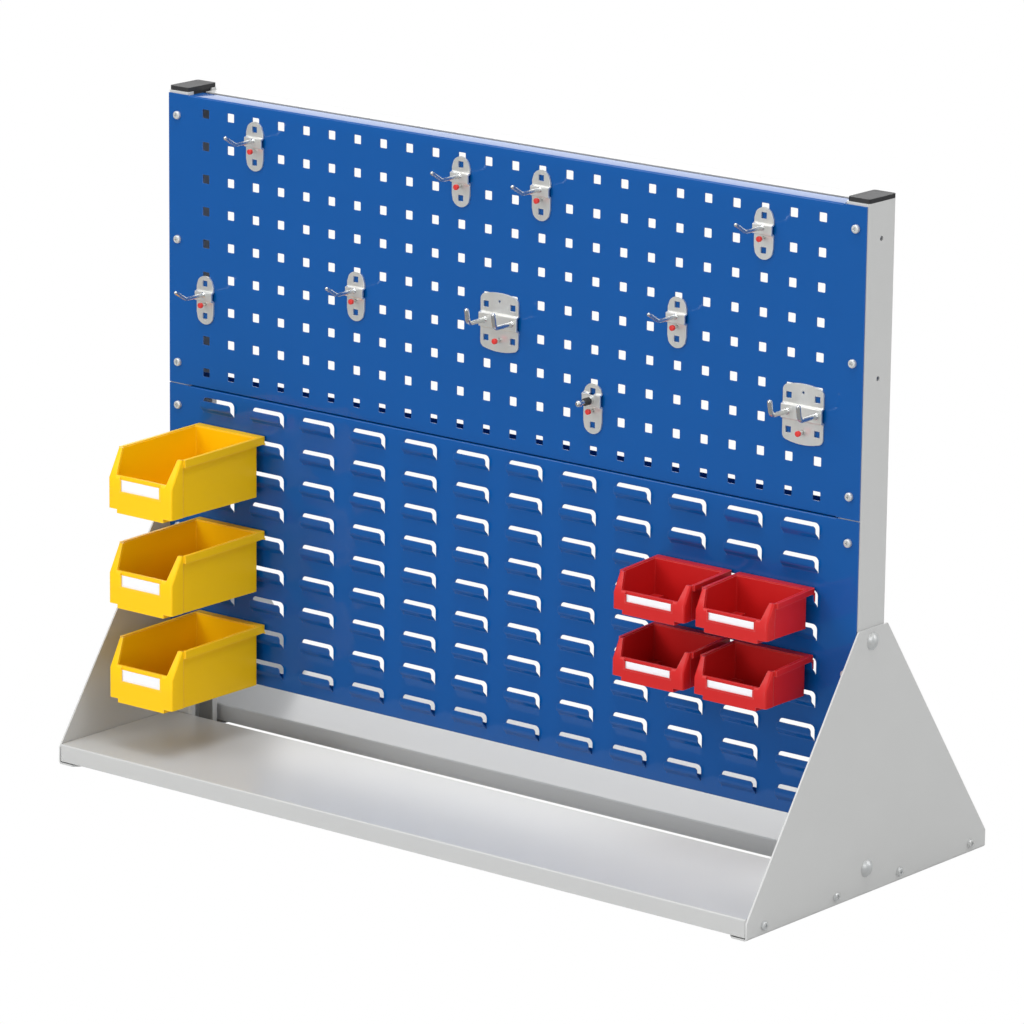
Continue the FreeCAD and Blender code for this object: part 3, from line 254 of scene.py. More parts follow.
bolt_zinc = plated("bolt_zinc", (0.73, 0.74, 0.75), 0.6, 0.2, 0.1, drift=0.15, edge=0.2, rough=0.4,
                   Metallic=0.6)
dress(("gusset_bolts", "gusset_nuts", "shelf_screws", "panel_screws"), bolt_zinc)

# Perforated panel: one sheet of steel with 24 by 9 punched square holes, its top and foot edges folded
# back for stiffness, with a glossy blue powder coat. It is screwed to the fronts of the uprights. From
# here on, pieces are drawn in millimetres and become metres when their mesh is made.
PANEL_FACE = -31.5    # Y of the panels' front
PANEL_TOP = 763.0
PANEL_HEIGHT = 341
PANEL_HALF = 494.0
FLANGE_HALF = 463.0    # half of the folded flanges' length, just short of the uprights
FLANGE_DEPTH = 23.8    # from the front to the rear end of both flanges
FLANGE_RETURN = 12    # height of the foot flange's turned-up rim
GAUGE = 1.25
BEND = 2.0
HOLE_PITCH = 38
HOLE_COLUMNS, HOLE_ROWS = 24, 9
HOLE_HALF, HOLE_CORNER = 5, 0.9


def piece(name, points, faces, paint, slot, body, *stands_for, smooth=35):
    """Mesh in the part's frame with its material, which rides on a body and stands for CAD nodes. Edges
    that turn by more than smooth degrees stay sharp in shading."""
    mesh = bpy.data.meshes.new(name)
    metres = (np.asarray(points, float) / 1000).tolist()
    mesh.from_pydata(metres, [], [list(map(int, face)) for face in faces])
    shape = bmesh.new()
    shape.from_mesh(mesh)
    bmesh.ops.remove_doubles(shape, verts=shape.verts, dist=2e-6)
    shape.to_mesh(mesh)
    shape.free()
    mesh.materials.append(paint)
    mesh.shade_smooth()
    mesh.set_sharp_from_angle(angle=math.radians(smooth))
    thing = bpy.data.objects.new(name, mesh)
    bpy.context.scene.collection.objects.link(thing)
    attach(thing, body)
    if stands_for:
        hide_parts(*stands_for)
    return thing


def sheet_metal(thing, gauge, edge):
    """Give a surface its gauge behind it, evenly at bends, and soften its edges."""
    solid = thing.modifiers.new("gauge", "SOLIDIFY")
    solid.thickness = gauge / 1000
    solid.offset = -1
    solid.use_even_offset = True
    soften(thing, edge)


def join(parts):
    """Points and faces of several meshes as one: each part's indices grow by the points before it."""
    points = np.concatenate([np.asarray(part[0], float) for part in parts])
    starts = np.cumsum([0] + [len(part[0]) for part in parts[:-1]])
    faces = [tuple(np.asarray(face) + start) for part, start in zip(parts, starts) for face in part[1]]
    return points, faces


def grid(xs, ys, zs):
    """Quads over arrays of equal shape: columns run to the right, and rows run down."""
    rows, columns = xs.shape
    index = np.arange(rows * columns).reshape(rows, columns)
    quads = np.stack([index[1:, :-1], index[1:, 1:], index[:-1, 1:], index[:-1, :-1]], -1)
    return np.stack([xs, ys, zs], -1).reshape(-1, 3), quads.reshape(-1, 4)


def pierced_panel(top, x_edges, z_edges, centres_x, centres_z, loop, outer):
    """Sheet of cells that each surround one opening, with plain ends and folded top and foot flanges.
    loop is the opening's outline in its cell. outer gives, for each of its points, a value, a blend and
    a side for x and z. A point of the cell's outline is the centre plus the value, blended towards the
    cell's edge on that side. The flanges follow quarter circles of radius BEND."""
    foot = top - PANEL_HEIGHT
    count = len(loop)
    centre_x, centre_z = np.meshgrid(centres_x, centres_z)
    left, above = np.meshgrid(x_edges[:-1], z_edges[:-1])
    right, below = np.meshgrid(x_edges[1:], z_edges[1:])
    centre_x, centre_z, left, right, above, below = (
        values.reshape(-1, 1) for values in (centre_x, centre_z, left, right, above, below))
    value_x, blend_x, side_x, value_z, blend_z, side_z = outer.T
    outer_x = (centre_x + value_x) * (1 - blend_x) + np.where(side_x > 0, right, left) * blend_x
    outer_z = (centre_z + value_z) * (1 - blend_z) + np.where(side_z > 0, above, below) * blend_z
    inner = np.stack([centre_x + loop[:, 0], centre_z + loop[:, 1]], -1)
    flat = np.concatenate([inner, np.stack([outer_x, outer_z], -1)], 1)
    points = np.stack([flat[..., 0], np.zeros(flat.shape[:2]), flat[..., 1]], -1).reshape(-1, 3)
    here = np.arange(count)
    after = (here + 1) % count
    ring = np.stack([here, count + here, count + after, after], 1)
    faces = (ring[None] + (np.arange(len(centre_x)) * 2 * count)[:, None, None]).reshape(-1, 4)
    across = np.unique(outer_x[np.isclose(outer_z, top - BEND)].round(5))
    down = np.unique(outer_z[np.isclose(outer_x, FLANGE_HALF)].round(5))[::-1]
    parts = [(points, faces)]
    levels = np.concatenate([[top], down, [foot]])
    for start, end in ((-PANEL_HALF, -FLANGE_HALF), (FLANGE_HALF, PANEL_HALF)):
        end_x, end_z = np.meshgrid([start, (start + end) / 2, end], levels)
        parts.append(grid(end_x, np.zeros_like(end_x), end_z))
    turn = np.radians(np.linspace(0, 90, 5))
    near, far = BEND - BEND * np.cos(turn), FLANGE_DEPTH - BEND + BEND * np.sin(turn)
    over = [(FLANGE_DEPTH, top), (BEND, top)]
    over += [(BEND - BEND * math.sin(angle), top - BEND + BEND * math.cos(angle)) for angle in turn[1:]]
    under = list(zip(near, foot + BEND - BEND * np.sin(turn)))
    under += list(zip(far, foot + BEND - BEND * np.cos(turn)))
    under += [(FLANGE_DEPTH, foot + FLANGE_RETURN)]
    for outline in (over, under):
        depths, levels = np.array(outline).T
        flange_x, flange_y = np.meshgrid(across, depths)
        parts.append(grid(flange_x, flange_y, np.repeat(levels[:, None], len(across), 1)))
    points, faces = join(parts)
    return points + (0, PANEL_FACE, 0), faces


def corner_points(half_x, half_z, radius):
    """Rounded rectangle, three points to a corner, counter-clockwise from the lower right. Each is the
    corner circle's centre plus radius times the cosine and sine of its turn."""
    loop = []
    for side_x, side_z, turn in ((1, -1, -90), (1, 1, 0), (-1, 1, 90), (-1, -1, 180)):
        for step in (0, 45, 90):
            angle = math.radians(turn + step)
            loop.append((side_x * (half_x - radius) + radius * math.cos(angle),
                         side_z * (half_z - radius) + radius * math.sin(angle)))
    return np.array(loop)


blue_paint = coated("blue_paint", (0.0, 0.076, 0.30), 0.06, 0.08, drift=0.06, edge=0.1, rough=0.36,
                    smudge=0.06, Specular_IOR_Level=0.1, Coat_Weight=0.65, Coat_Roughness=0.07)
outline = corner_points(HOLE_HALF, HOLE_HALF, HOLE_CORNER)
reach = []
for k, (side_x, side_z) in enumerate(((1, -1), (1, 1), (-1, 1), (-1, -1))):
    first, last = outline[3 * k], outline[3 * k + 2]
    along_x, along_z = (first, last) if k % 2 == 0 else (last, first)
    edge_on_z = (along_x[0], 0, side_x, 0, 1, side_z)
    corner = (0, 1, side_x, 0, 1, side_z)
    edge_on_x = (0, 1, side_x, along_z[1], 0, side_z)
    reach += [edge_on_z, corner, edge_on_x] if k % 2 == 0 else [edge_on_x, corner, edge_on_z]
columns = (np.arange(HOLE_COLUMNS) - (HOLE_COLUMNS - 1) / 2) * HOLE_PITCH
rows = PANEL_TOP - PANEL_HEIGHT / 2 + ((HOLE_ROWS - 1) / 2 - np.arange(HOLE_ROWS)) * HOLE_PITCH
x_edges = np.concatenate([[-FLANGE_HALF], (columns[1:] + columns[:-1]) / 2, [FLANGE_HALF]])
z_edges = np.concatenate([[PANEL_TOP - BEND], (rows[1:] + rows[:-1]) / 2,
                          [PANEL_TOP - PANEL_HEIGHT + BEND]])
points, faces = pierced_panel(PANEL_TOP, x_edges, z_edges, columns, rows, outline, np.array(reach))
panel = piece("perforated_sheet", points, faces, blue_paint, "panel_paint", "wall", "perforated_panel")
sheet_metal(panel, GAUGE, 0.25)

# Louvre panel: the same sheet with 12 by 9 slots, whose lower edges are pressed forwards and up into
# tabs that bins hang on. Tabs and slots have rounded upper corners. Its blue coat and its screws are
# those of the other panel.
LOUVRE_TOP = PANEL_TOP - PANEL_HEIGHT - 1
LOUVRE_PITCH, ROW_STEP = 76, 37.5
LOUVRE_COLUMNS, LOUVRE_ROWS = 12, 9
FIRST_SLOT = 9.9    # from the panel's top to the upper edge of the first slots
BAND = 6.5    # part of a slot's cell that lies above the slot
SLOT_HALF, SLOT_FOOT, SLOT_CORNER = 24, -18.5, 5.5
TAB_HALF, TAB_MIDDLE = 23, 18.5    # half widths of a tab, and of its middle, clear of the corners
arc = np.radians(np.linspace(0, 90, 5))
right_side = [(TAB_MIDDLE, SLOT_FOOT), (TAB_HALF, SLOT_FOOT), (SLOT_HALF, SLOT_FOOT + 1)]
right_side += [(SLOT_HALF - SLOT_CORNER + SLOT_CORNER * math.cos(angle),
                -SLOT_CORNER + SLOT_CORNER * math.sin(angle)) for angle in arc]
right_out = [(TAB_MIDDLE, 0, 1, 0, 1, -1), (TAB_MIDDLE, 0.5, 1, 0, 1, -1), (0, 1, 1, 0, 1, -1),
             (0, 1, 1, -SLOT_CORNER, 0, 1), (0, 1, 1, -SLOT_CORNER, 0.5, 1), (0, 1, 1, 0, 1, 1),
             (TAB_MIDDLE, 0.5, 1, 0, 1, 1), (TAB_MIDDLE, 0, 1, 0, 1, 1)]
slot_loop = np.concatenate([right_side, np.array(right_side[::-1]) * (-1, 1)])
slot_out = np.concatenate([right_out, np.array(right_out[::-1]) * (-1, 1, -1, 1, 1, 1)])
columns = (np.arange(LOUVRE_COLUMNS) - (LOUVRE_COLUMNS - 1) / 2) * LOUVRE_PITCH
rows = LOUVRE_TOP - FIRST_SLOT - ROW_STEP * np.arange(LOUVRE_ROWS)
x_edges = np.concatenate([[-FLANGE_HALF], (columns[1:] + columns[:-1]) / 2, [FLANGE_HALF]])
z_edges = np.concatenate([[LOUVRE_TOP - BEND], rows[1:] + BAND, [LOUVRE_TOP - PANEL_HEIGHT + BEND]])
sheet = pierced_panel(LOUVRE_TOP, x_edges, z_edges, columns, rows, slot_loop, slot_out)

# The tab's section from its root to its tip: distance in front of the panel, height over the slot's
# foot, and half the tab's width there.
section = np.array([(0, 0, TAB_HALF), (-0.35, 1.2, TAB_HALF), (-1.2, 2.35, TAB_HALF),
                    (-4.9, 5.9, TAB_HALF), (-6.1, 7.4, TAB_HALF), (-6.5, 9.2, TAB_HALF),
                    (-6.5, 11.7, TAB_HALF), (-6.5, 13.0, 22.8), (-6.5, 14.2, 22.1), (-6.5, 15.1, 21.1),
                    (-6.5, 15.6, 19.9), (-6.5, 15.7, 19.0)])[::-1]
depths, levels, halves = section.T
middles = np.full(len(section), TAB_MIDDLE)
tab, tab_faces = grid(np.stack([-halves, -middles, middles, halves], 1),
                      np.repeat(depths[:, None], 4, 1), np.repeat(levels[:, None], 4, 1) + SLOT_FOOT)
centre_x, centre_z = (values.reshape(-1, 1, 1) for values in np.meshgrid(columns, rows))
every_tab = tab[None] + np.concatenate([centre_x, np.full_like(centre_x, PANEL_FACE), centre_z], -1)
tab_faces = (tab_faces[None] + (np.arange(len(centre_x)) * len(tab))[:, None, None]).reshape(-1, 4)
points, faces = join([sheet, (every_tab.reshape(-1, 3), tab_faces)])
louvres = piece("louvre_sheet", points, faces, blue_paint, "panel_paint", "wall", "louvre_panel")
sheet_metal(louvres, GAUGE, 0.25)

# Single hooks: a zinc-plated steel plate with round ends and a pressed ridge, a bent round wire welded
# to the ridge, and a red-capped locking screw that bears on the panel. Two tabs, turned back and down
# from the plate's windows, hang in the panel's square holes.
PLATE_GAUGE, RIDGE_HEIGHT, RIDGE_RUN = 2, 3.5, 1.8
RIDGE_STEPS = np.array([0, 0.45, 0.9, 1.35, RIDGE_RUN])
FIRST_ROW = 18.5    # from the panel's top to the centres of the first row of holes
WINDOWS = ((-4.7, -11.7), (-42.7, -49.7))    # top and foot of a plate's windows, from the hole's centre
LOCK_RADIUS = 2.05
zinc = plated("zinc", (0.90, 0.89, 0.87), 0.5, 0.15, 0.25, drift=0.2, edge=0.25, rough=0.34,
              smudge=0.16, Metallic=0.8)
wire_zinc = plated("wire_zinc", (0.76, 0.77, 0.77), 0.4, 0.1, 0.1, drift=0.15, edge=0.1, rough=0.22,
                   Metallic=0.95)
cap_plastic = coated("cap_plastic", (0.62, 0.03, 0.025), 0.1, 0.05, edge=0.06, rough=0.3)


def plate(xs, zs, ridge, windows, holes):
    """Surface of rows and columns, pressed forwards over its ridge. The step up to the ridge is the
    smooth cubic 3 t squared less 2 t cubed of the way t across RIDGE_RUN. Cells are left out for
    windows, whose tabs follow a strip back and down, and for round holes, whose rim is a circle of 16
    points. windows are (column, top, foot), and holes are (column, row's top, x, z, radius)."""
    low, high = ridge
    rise = np.clip(np.minimum((high - zs) / RIDGE_RUN, (zs - low) / RIDGE_RUN), 0, 1)
    ys = -PLATE_GAUGE - RIDGE_HEIGHT * rise ** 2 * (3 - 2 * rise)
    points, quads = grid(xs, ys, zs)
    width = xs.shape[1]
    middle = zs[:, width // 2]

    def row_at(level):
        """Number of the row whose middle lies nearest to the level."""
        return int(np.argmin(abs(middle - level)))

    gone = {row * (width - 1) + column
            for column, top, foot in windows for row in range(row_at(top), row_at(foot))}
    gone |= {row_at(top) * (width - 1) + column for column, top, *_ in holes}
    points = list(map(tuple, points))
    faces = [tuple(quad) for number, quad in enumerate(quads) if number not in gone]
    for column, top, x, z, radius in holes:
        row = row_at(top)
        corners = [(row + 1) * width + column, (row + 1) * width + column + 1, row * width + column + 1,
                   row * width + column]
        first = len(points)
        for turn in np.radians(np.arange(16) * 22.5 - 135):
            points.append((x + radius * math.cos(turn), -PLATE_GAUGE, z + radius * math.sin(turn)))
        for k in range(4):
            ring = [first + (4 * k + step) % 16 for step in range(5)]
            near, far = corners[k], corners[(k + 1) % 4]
            faces += [(near, far, ring[2]), (near, ring[2], ring[1]), (near, ring[1], ring[0]),
                      (far, ring[3], ring[2]), (far, ring[4], ring[3])]
    for column, top, foot in windows:
        left, right = xs[row_at(top), column], xs[row_at(top), column + 1]
        strip = [(-PLATE_GAUGE, top), (1.05, top), (1.4, top - 0.15), (1.55, top - 0.5),
                 (1.55, top - 4.3)]
        first = len(points)
        points += [(x, y, z) for y, z in strip for x in (left, right)]
        faces += [(first + 2 * k + 2, first + 2 * k + 3, first + 2 * k + 1, first + 2 * k)
                  for k in range(4)]
    return points, faces


def tube(path, radii, x, sides=20):
    """Round bar along points (y, z) of the plane at x, closed at both ends. A point of a ring is the
    path's point, plus radius times the turn's cosine along X, and radius times its sine along the path's
    normal."""
    path = np.asarray(path, float)
    ahead = np.gradient(path, axis=0)
    ahead /= np.linalg.norm(ahead, axis=1)[:, None]
    turn = np.linspace(0, 2 * np.pi, sides, endpoint=False)
    out = np.stack([np.zeros(len(path)), -ahead[:, 1], ahead[:, 0]], 1)
    centre = np.stack([np.full(len(path), x), path[:, 0], path[:, 1]], 1)
    reach = np.asarray(radii, float)[:, None, None]
    side = np.array([1.0, 0, 0])[None, None]
    around_axis = np.cos(turn)[None, :, None] * side + np.sin(turn)[None, :, None] * out[:, None]
    rings = centre[:, None] + reach * around_axis
    index = np.arange(len(path) * sides).reshape(len(path), sides)
    after = np.roll(index, -1, 1)
    quads = np.stack([index[:-1], index[1:], after[1:], after[:-1]], -1).reshape(-1, 4)
    faces = [tuple(quad) for quad in quads] + [tuple(index[0]), tuple(index[-1][::-1])]
    return rings.reshape(-1, 3), faces


def bent_wire(x, height, reach, bend, tip, angle, radius):
    """Wire from the ridge's face: weld bead, run, bend, raised tip and rounded end. The bend is a circle
    of radius bend through angle degrees. It takes bend times the tangent of half the angle from each
    leg. The rounded end follows a quarter circle of the wire's radius."""
    start = -PLATE_GAUGE - RIDGE_HEIGHT
    corner, turn = start - reach, math.radians(angle)
    taken = bend * math.tan(turn / 2)
    run = [(start - way, height) for way in (0, 0.35, 0.8, 1.5, 2.2, (reach - taken) / 2)]
    swing = [(corner + taken - bend * math.sin(part), height + bend * (1 - math.cos(part)))
             for part in np.linspace(0, turn, 9)]
    ahead = np.array([-math.cos(turn), math.sin(turn)])
    base = np.array([corner, height])
    ends = np.radians((25, 50, 70, 85))
    lengths = [(taken + tip) / 2, tip - radius]
    lengths += [tip - radius + radius * math.sin(end) for end in ends]
    path = run + swing + [tuple(base + ahead * length) for length in lengths]
    bead = [1.1, 0.95, 0.45, 0.1, 0, 0]
    radii = [radius + more for more in bead] + [radius] * (len(swing) + 2)
    radii += [radius * math.cos(end) for end in ends]
    return tube(path, radii, x)


def turned(profile, z, sides=28):
    """Turned piece on a line along -Y at height z. profile gives distances in front of the panel and
    the radius at each."""
    out, radius = np.array(profile, float).T
    return tube(np.stack([-out, np.full(len(out), z)], 1), radius, 0, sides)


def hung(mesh, hole):
    """Move a holder's mesh to its hole of the panel, a column and a row counted from 1 at the top left:
    one pitch to the right for each column, and one pitch down for each row."""
    column, row = hole
    place = ((column - (HOLE_COLUMNS + 1) / 2) * HOLE_PITCH, PANEL_FACE,
             PANEL_TOP - FIRST_ROW - (row - 1) * HOLE_PITCH)
    return np.asarray(mesh[0], float) + place, mesh[1]


def stadium_plate(ridge, lock):
    """Plate with round ends, one hook window above and below, and the hole of the lock screw. Its half
    width is the root of the radius squared less the square of the way past the end circle's centre."""
    low, high = ridge
    radius = 12.75
    top, foot = 0.7 - radius, -56.3 + radius
    ends = np.radians([85, 72, 60, 48, 36, 24, 12])
    levels = np.concatenate([np.ravel(WINDOWS), high - RIDGE_STEPS, low + RIDGE_STEPS])
    arcs = np.concatenate([top + radius * np.sin(ends), foot - radius * np.sin(ends)])
    clear = (arcs > WINDOWS[0][0] + 0.5) | (arcs < WINDOWS[1][1] - 0.5)
    rows = np.sort(np.concatenate([levels, arcs[clear]]))[::-1]
    half = np.sqrt(radius ** 2 - np.clip(np.maximum(rows - top, foot - rows), 0, radius) ** 2)
    opening = np.minimum(3.6, 0.4 * half)
    between = half - 0.6 * (half - opening)
    xs = np.stack([-half, -between, -opening, opening, between, half], 1)
    zs = np.repeat(rows[:, None], 6, 1)
    return plate(xs, zs, ridge, [(2, *window) for window in WINDOWS], [(2, low, 0, lock, LOCK_RADIUS)])


def lock_screw(label, z, hole):
    """Threaded shank that bears on the panel, and a round cap with a domed face. The thread is a
    profile whose radius changes between root and crest at each step of 0.35."""
    root, crest = 1.58, 1.8
    threads = [(0.9 + 0.35 * k, crest if k % 2 else root) for k in range(20)]
    shank = turned([(0.3, 1.2), (0.6, 1.5)] + threads + [(8.2, 1.6)], z)
    cap = turned([(8, 1.7), (8.05, 2.7), (8.25, 3.05), (8.6, 3.2), (11.1, 3.2), (11.5, 3.08),
                  (11.8, 2.75), (11.95, 2.1), (12, 1)], z)
    piece(f"{label}_screw_cap", *hung(cap, hole), cap_plastic, "red_cap", f"{label}_screw",
          f"{label}_lock_screw")
    piece(f"{label}_screw_shank", *hung(shank, hole), zinc, "zinc", f"{label}_screw", smooth=70)


for number, hole in enumerate(((3, 1), (11, 1), (14, 1), (22, 1), (1, 6), (7, 5), (19, 4)), start=1):
    label = f"hook_{number}"
    sheet = stadium_plate(ridge=(-29.8, -16.3), lock=-32.6)
    wire = bent_wire(0, height=-21.05, reach=29.5, bend=8, tip=22, angle=31, radius=2.25)
    flat = piece(f"{label}_sheet", *hung(sheet, hole), zinc, "zinc", label, f"{label}_plate")
    sheet_metal(flat, PLATE_GAUGE, 0.3)
    piece(f"{label}_bent_wire", *hung(wire, hole), wire_zinc, "zinc", label, f"{label}_wire")
    lock_screw(label, -32.6, hole)


# Double hooks: zinc-plated steel as well, with a wide plate that hangs by four tabs, and two thicker
# wires that are welded to its ridge and turn up steeply. The plate's ends are bowed and its corners
# rounded, and a small eye is punched at the top.
def bowed_plate():
    """Wide plate with four hook windows, an eye and a lock hole. An end follows a circle of radius 86,
    and a corner one of radius 5: each drops by its radius less the root of the radius squared less the
    square of the way across."""
    bow_radius, half, corner_radius = 86, 27, 5
    low, high = -35, -16.5
    xs = np.array([-27, -26.6, -25.6, -24.3, -22.6, -15.4, -9, -4,
                   4, 9, 15.4, 22.6, 24.3, 25.6, 26.6, 27])
    past = np.clip(abs(xs) - (half - corner_radius), 0, corner_radius)
    corner = corner_radius - np.sqrt(corner_radius ** 2 - past ** 2)
    bow = bow_radius - np.sqrt(bow_radius ** 2 - xs ** 2) + corner
    levels = np.sort(np.concatenate([np.ravel(WINDOWS), high - RIDGE_STEPS, low + RIDGE_STEPS]))[::-1]
    zs = np.concatenate([[6.5 - bow], np.repeat(levels[:, None], len(xs), 1), [-60.5 + bow]])
    windows = [(column, *window) for column in (4, 10) for window in WINDOWS]
    holes = [(7, 6.4, 0, -3, 1.5), (7, WINDOWS[1][0], 0, -46.9, LOCK_RADIUS)]
    return plate(np.repeat(xs[None], len(zs), 0), zs, (low, high), windows, holes)


for number, hole in enumerate(((12.5, 5), (23.5, 6)), start=1):
    label = f"double_hook_{number}"
    wires = join([bent_wire(x, height=-25.75, reach=28, bend=7, tip=18.5, angle=80, radius=2.75)
                  for x in (-19, 19)])
    flat = piece(f"{label}_sheet", *hung(bowed_plate(), hole), zinc, "zinc", label, f"{label}_plate")
    sheet_metal(flat, PLATE_GAUGE, 0.3)
    piece(f"{label}_bent_wires", *hung(wires, hole), wire_zinc, "zinc", label, f"{label}_wires")
    lock_screw(label, -46.9, hole)

# Stud holder: the single hooks' plate with its ridge higher up, and a turned stud with a collar and a
# knob instead of a wire, both of zinc-plated steel. A grooved rubber sleeve sits on the stud, between
# the collar and the knob.
STUD_LEVEL = -17.9
black_rubber = coated("black_rubber", (0.03, 0.03, 0.03), 0.3, 0.05, drift=0.2, edge=0.03, rough=0.7)
hole = (16, 7)
sheet = stadium_plate(ridge=(-26.3, -9.5), lock=-30)
stud = turned([(5.5, 4.2), (5.7, 4.5), (8.7, 4.5), (9, 4.2), (9.05, 2.5), (17.2, 2.5), (23.6, 2.5),
               (24, 3.1), (24.6, 3.6), (27.4, 3.75), (28.6, 3.4), (29.4, 2.6), (29.9, 1.5), (30, 0.6)],
              STUD_LEVEL)
sleeve = turned([(9.05, 2.6), (9.15, 3.9), (9.5, 4.3), (12.5, 4.3), (12.8, 4.05), (13.1, 4.3),
                 (16.5, 4.3), (16.9, 4), (17, 3.4), (16.95, 2.6)], STUD_LEVEL)
flat = piece("stud_holder_sheet", *hung(sheet, hole), zinc, "zinc", "stud_holder", "stud_holder_plate")
sheet_metal(flat, PLATE_GAUGE, 0.3)
piece("stud_holder_pin", *hung(stud, hole), wire_zinc, "zinc", "stud_holder", "stud_holder_stud")
piece("stud_holder_ring", *hung(sleeve, hole), black_rubber, "black_rubber", "stud_holder",
      "stud_holder_sleeve")
lock_screw("stud_holder", -30, hole)

# Bins: open-fronted boxes of moulded plastic with a stepped rim, three long yellow ones and four short
# red ones. A lip behind the rim hangs on a louvre tab, a rib below it bears on the panel, and white card
# stands in a pocket at the front. X = 0 is a bin's middle, Y = 0 the panel's front and Z = 0 the rim.
WALL = 2.2    # thickness of the wall and the floor
RIM_HALF, WALL_HALF, INNER_HALF = 51, 47.7, 45.5    # half widths over the rim, the wall, and inside
FRONT_HALF = 48.5    # over the thicker frame of the open front
FOOT_HALF, BED_HALF = 35.5, 33.3    # of the narrower foot, and of the floor inside
BACK, REAR = -1.6, -11.5    # Y of the rim's back, and of the rear wall's
FRONT_WALL = 3.2    # thickness of the front
RIM_STEP, STEP_DEPTH = 1.4, 1.2    # width and depth of the step inside the rim
CARD_MARGIN, POCKET_DEPTH = 0.8, 2.1    # height left above the card, and depth of its pocket
yellow_plastic = coated("yellow_plastic", (0.90, 0.53, 0.0), 0.12, 0.1, drift=0.05, edge=0.12,
                        rough=0.38, Specular_IOR_Level=0.25)
red_plastic = coated("red_plastic", (0.55, 0.012, 0.012), 0.12, 0.1, drift=0.06, edge=0.12, rough=0.35,
                     Specular_IOR_Level=0.3)
card_paper = coated("card_paper", (0.80, 0.81, 0.84), 0.4, 0.1, drift=0.03, edge=0.0, rough=0.85,
                    smudge=0.05)


def bin_columns(length, height, rim, fall, slant, front, lift, foot, card_width, card_height):
    """Right half of the wall as columns of points, from the middle of the rear to the middle of the
    front. rim and foot are the heights of the rim's band and of the narrower foot. The rim falls by fall
    in a straight line to the brow, where the open front starts. From there the edge comes down in a
    straight line, over the length slant, to the height front. Between the corners of the front, the wall
    ends lift above that height."""
    floor, corner, inner_floor = foot - height, front - height, foot - height + WALL
    ledge = corner - CARD_MARGIN - card_height
    brow = slant - length
    rise = (0, slant, -fall - corner)

    def column(wall, band, inside, top=0.0, leaning=0.0, sunk=0.0):
        """From the foot up the outside, over the rim and down the inside. wall, band and inside are
        places in plan: of the wall's outside, the rim's outside and the wall's inside. top is the rim's
        height. leaning is how far up the slant the column ends, and sunk is the card pocket's depth."""
        (x, y), (band_x, band_y), (inside_x, inside_y) = wall, band, inside
        outer = [(min(x, FOOT_HALF), y, -height), (min(x, FOOT_HALF), y, floor), (x, y, floor),
                 (x, y, ledge), (x, y + sunk, ledge), (x, y + sunk, corner)]
        inner = [(inside_x, inside_y, corner), (inside_x, inside_y, inner_floor),
                 (min(inside_x, BED_HALF), inside_y, inner_floor),
                 (min(inside_x, BED_HALF), inside_y, WALL - height)]
        if leaning:
            shift = np.array(rise) * leaning
            edge = np.array([band_x, max(y + shift[1], y + sunk), corner + shift[2]])
            half_way = (np.array([x, y + sunk, corner]) + edge) / 2
            crest = np.array([band_x + inside_x - x, inside_y + shift[1], corner + shift[2]])
            return outer + [half_way, half_way, edge, crest, crest, crest] + inner
        over = np.array([band_x - inside_x, band_y - inside_y])
        step_x, step_y = (inside_x, inside_y) + np.sign(over) * RIM_STEP * (abs(over) > 1)
        crest = [(band_x, band_y, top), (step_x, step_y, top), (step_x, step_y, top - STEP_DEPTH),
                 (inside_x, inside_y, top - STEP_DEPTH)]
        return outer + [(x, y, top - rim), (band_x, band_y, top - rim)] + crest + inner

    def corner_point(x, y, radius, turn, way=1):
        """Point on the rounding of the corner at x, y in plan. The circle's centre lies radius inside
        the corner on both axes. The point is the centre plus radius times the turn's cosine in x, and
        plus way times radius times its sine in y."""
        return x - radius + radius * math.cos(turn), y + way * radius * (math.sin(turn) - 1)

    slope = -fall / (brow - BACK)
    columns = [column((x, REAR), (x, BACK), (min(x, BED_HALF), REAR - WALL)) for x in (0, FOOT_HALF)]
    for turn in np.radians([90, 67.5, 45, 22.5, 0]):
        band = corner_point(RIM_HALF, BACK, 2.3, turn)
        wall = corner_point(WALL_HALF, REAR, 3, turn)
        inside = corner_point(INNER_HALF, REAR - WALL, 1.8, turn)
        columns.append(column(wall, band, inside, slope * (band[1] - BACK)))

    # The rim ends just behind the brow, and a groove parts it from the front's thicker frame.
    side = brow + 2.5
    columns.append(column((WALL_HALF, side + 1.5), (RIM_HALF, side + 1.5), (INNER_HALF, side + 1.5),
                          slope * (side + 1.5 - BACK)))
    for y in (side + 1.4, side + 0.2):
        columns.append(column((46.6, y), (FRONT_HALF, y), (INNER_HALF, y), -fall))
    frame_start = (FRONT_HALF, side + 0.1)
    columns.append(column(frame_start, frame_start, (INNER_HALF, side + 0.1), -fall))
    for turn in np.radians([0, 22.5, 45, 67.5, 90]):
        wall = corner_point(FRONT_HALF, -length, 2.5, turn, -1)
        inside = corner_point(INNER_HALF, FRONT_WALL - length, 1, turn, -1)
        columns.append(column(wall, wall, inside, leaning=1))

    # Across the front: the frame's inner side, which comes down to the low wall, and the card pocket.
    low = lift / rise[2]
    pocket = card_width / 2 + 0.3
    for x, band_x, leaning, sunk in (
            (42, 44.3, 1, 0), (37.5, 42.5, 1, 0), (37.5, 37.5 + 5 * low, low, 0),
            (FOOT_HALF, FOOT_HALF, low, 0), (pocket + 0.2, pocket + 0.2, low, 0),
            (pocket, pocket, low, POCKET_DEPTH), (0, 0, low, POCKET_DEPTH)):
        columns.append(column((x, -length), (band_x, -length), (x, FRONT_WALL - length),
                              leaning=leaning, sunk=sunk))
    return np.array(columns)


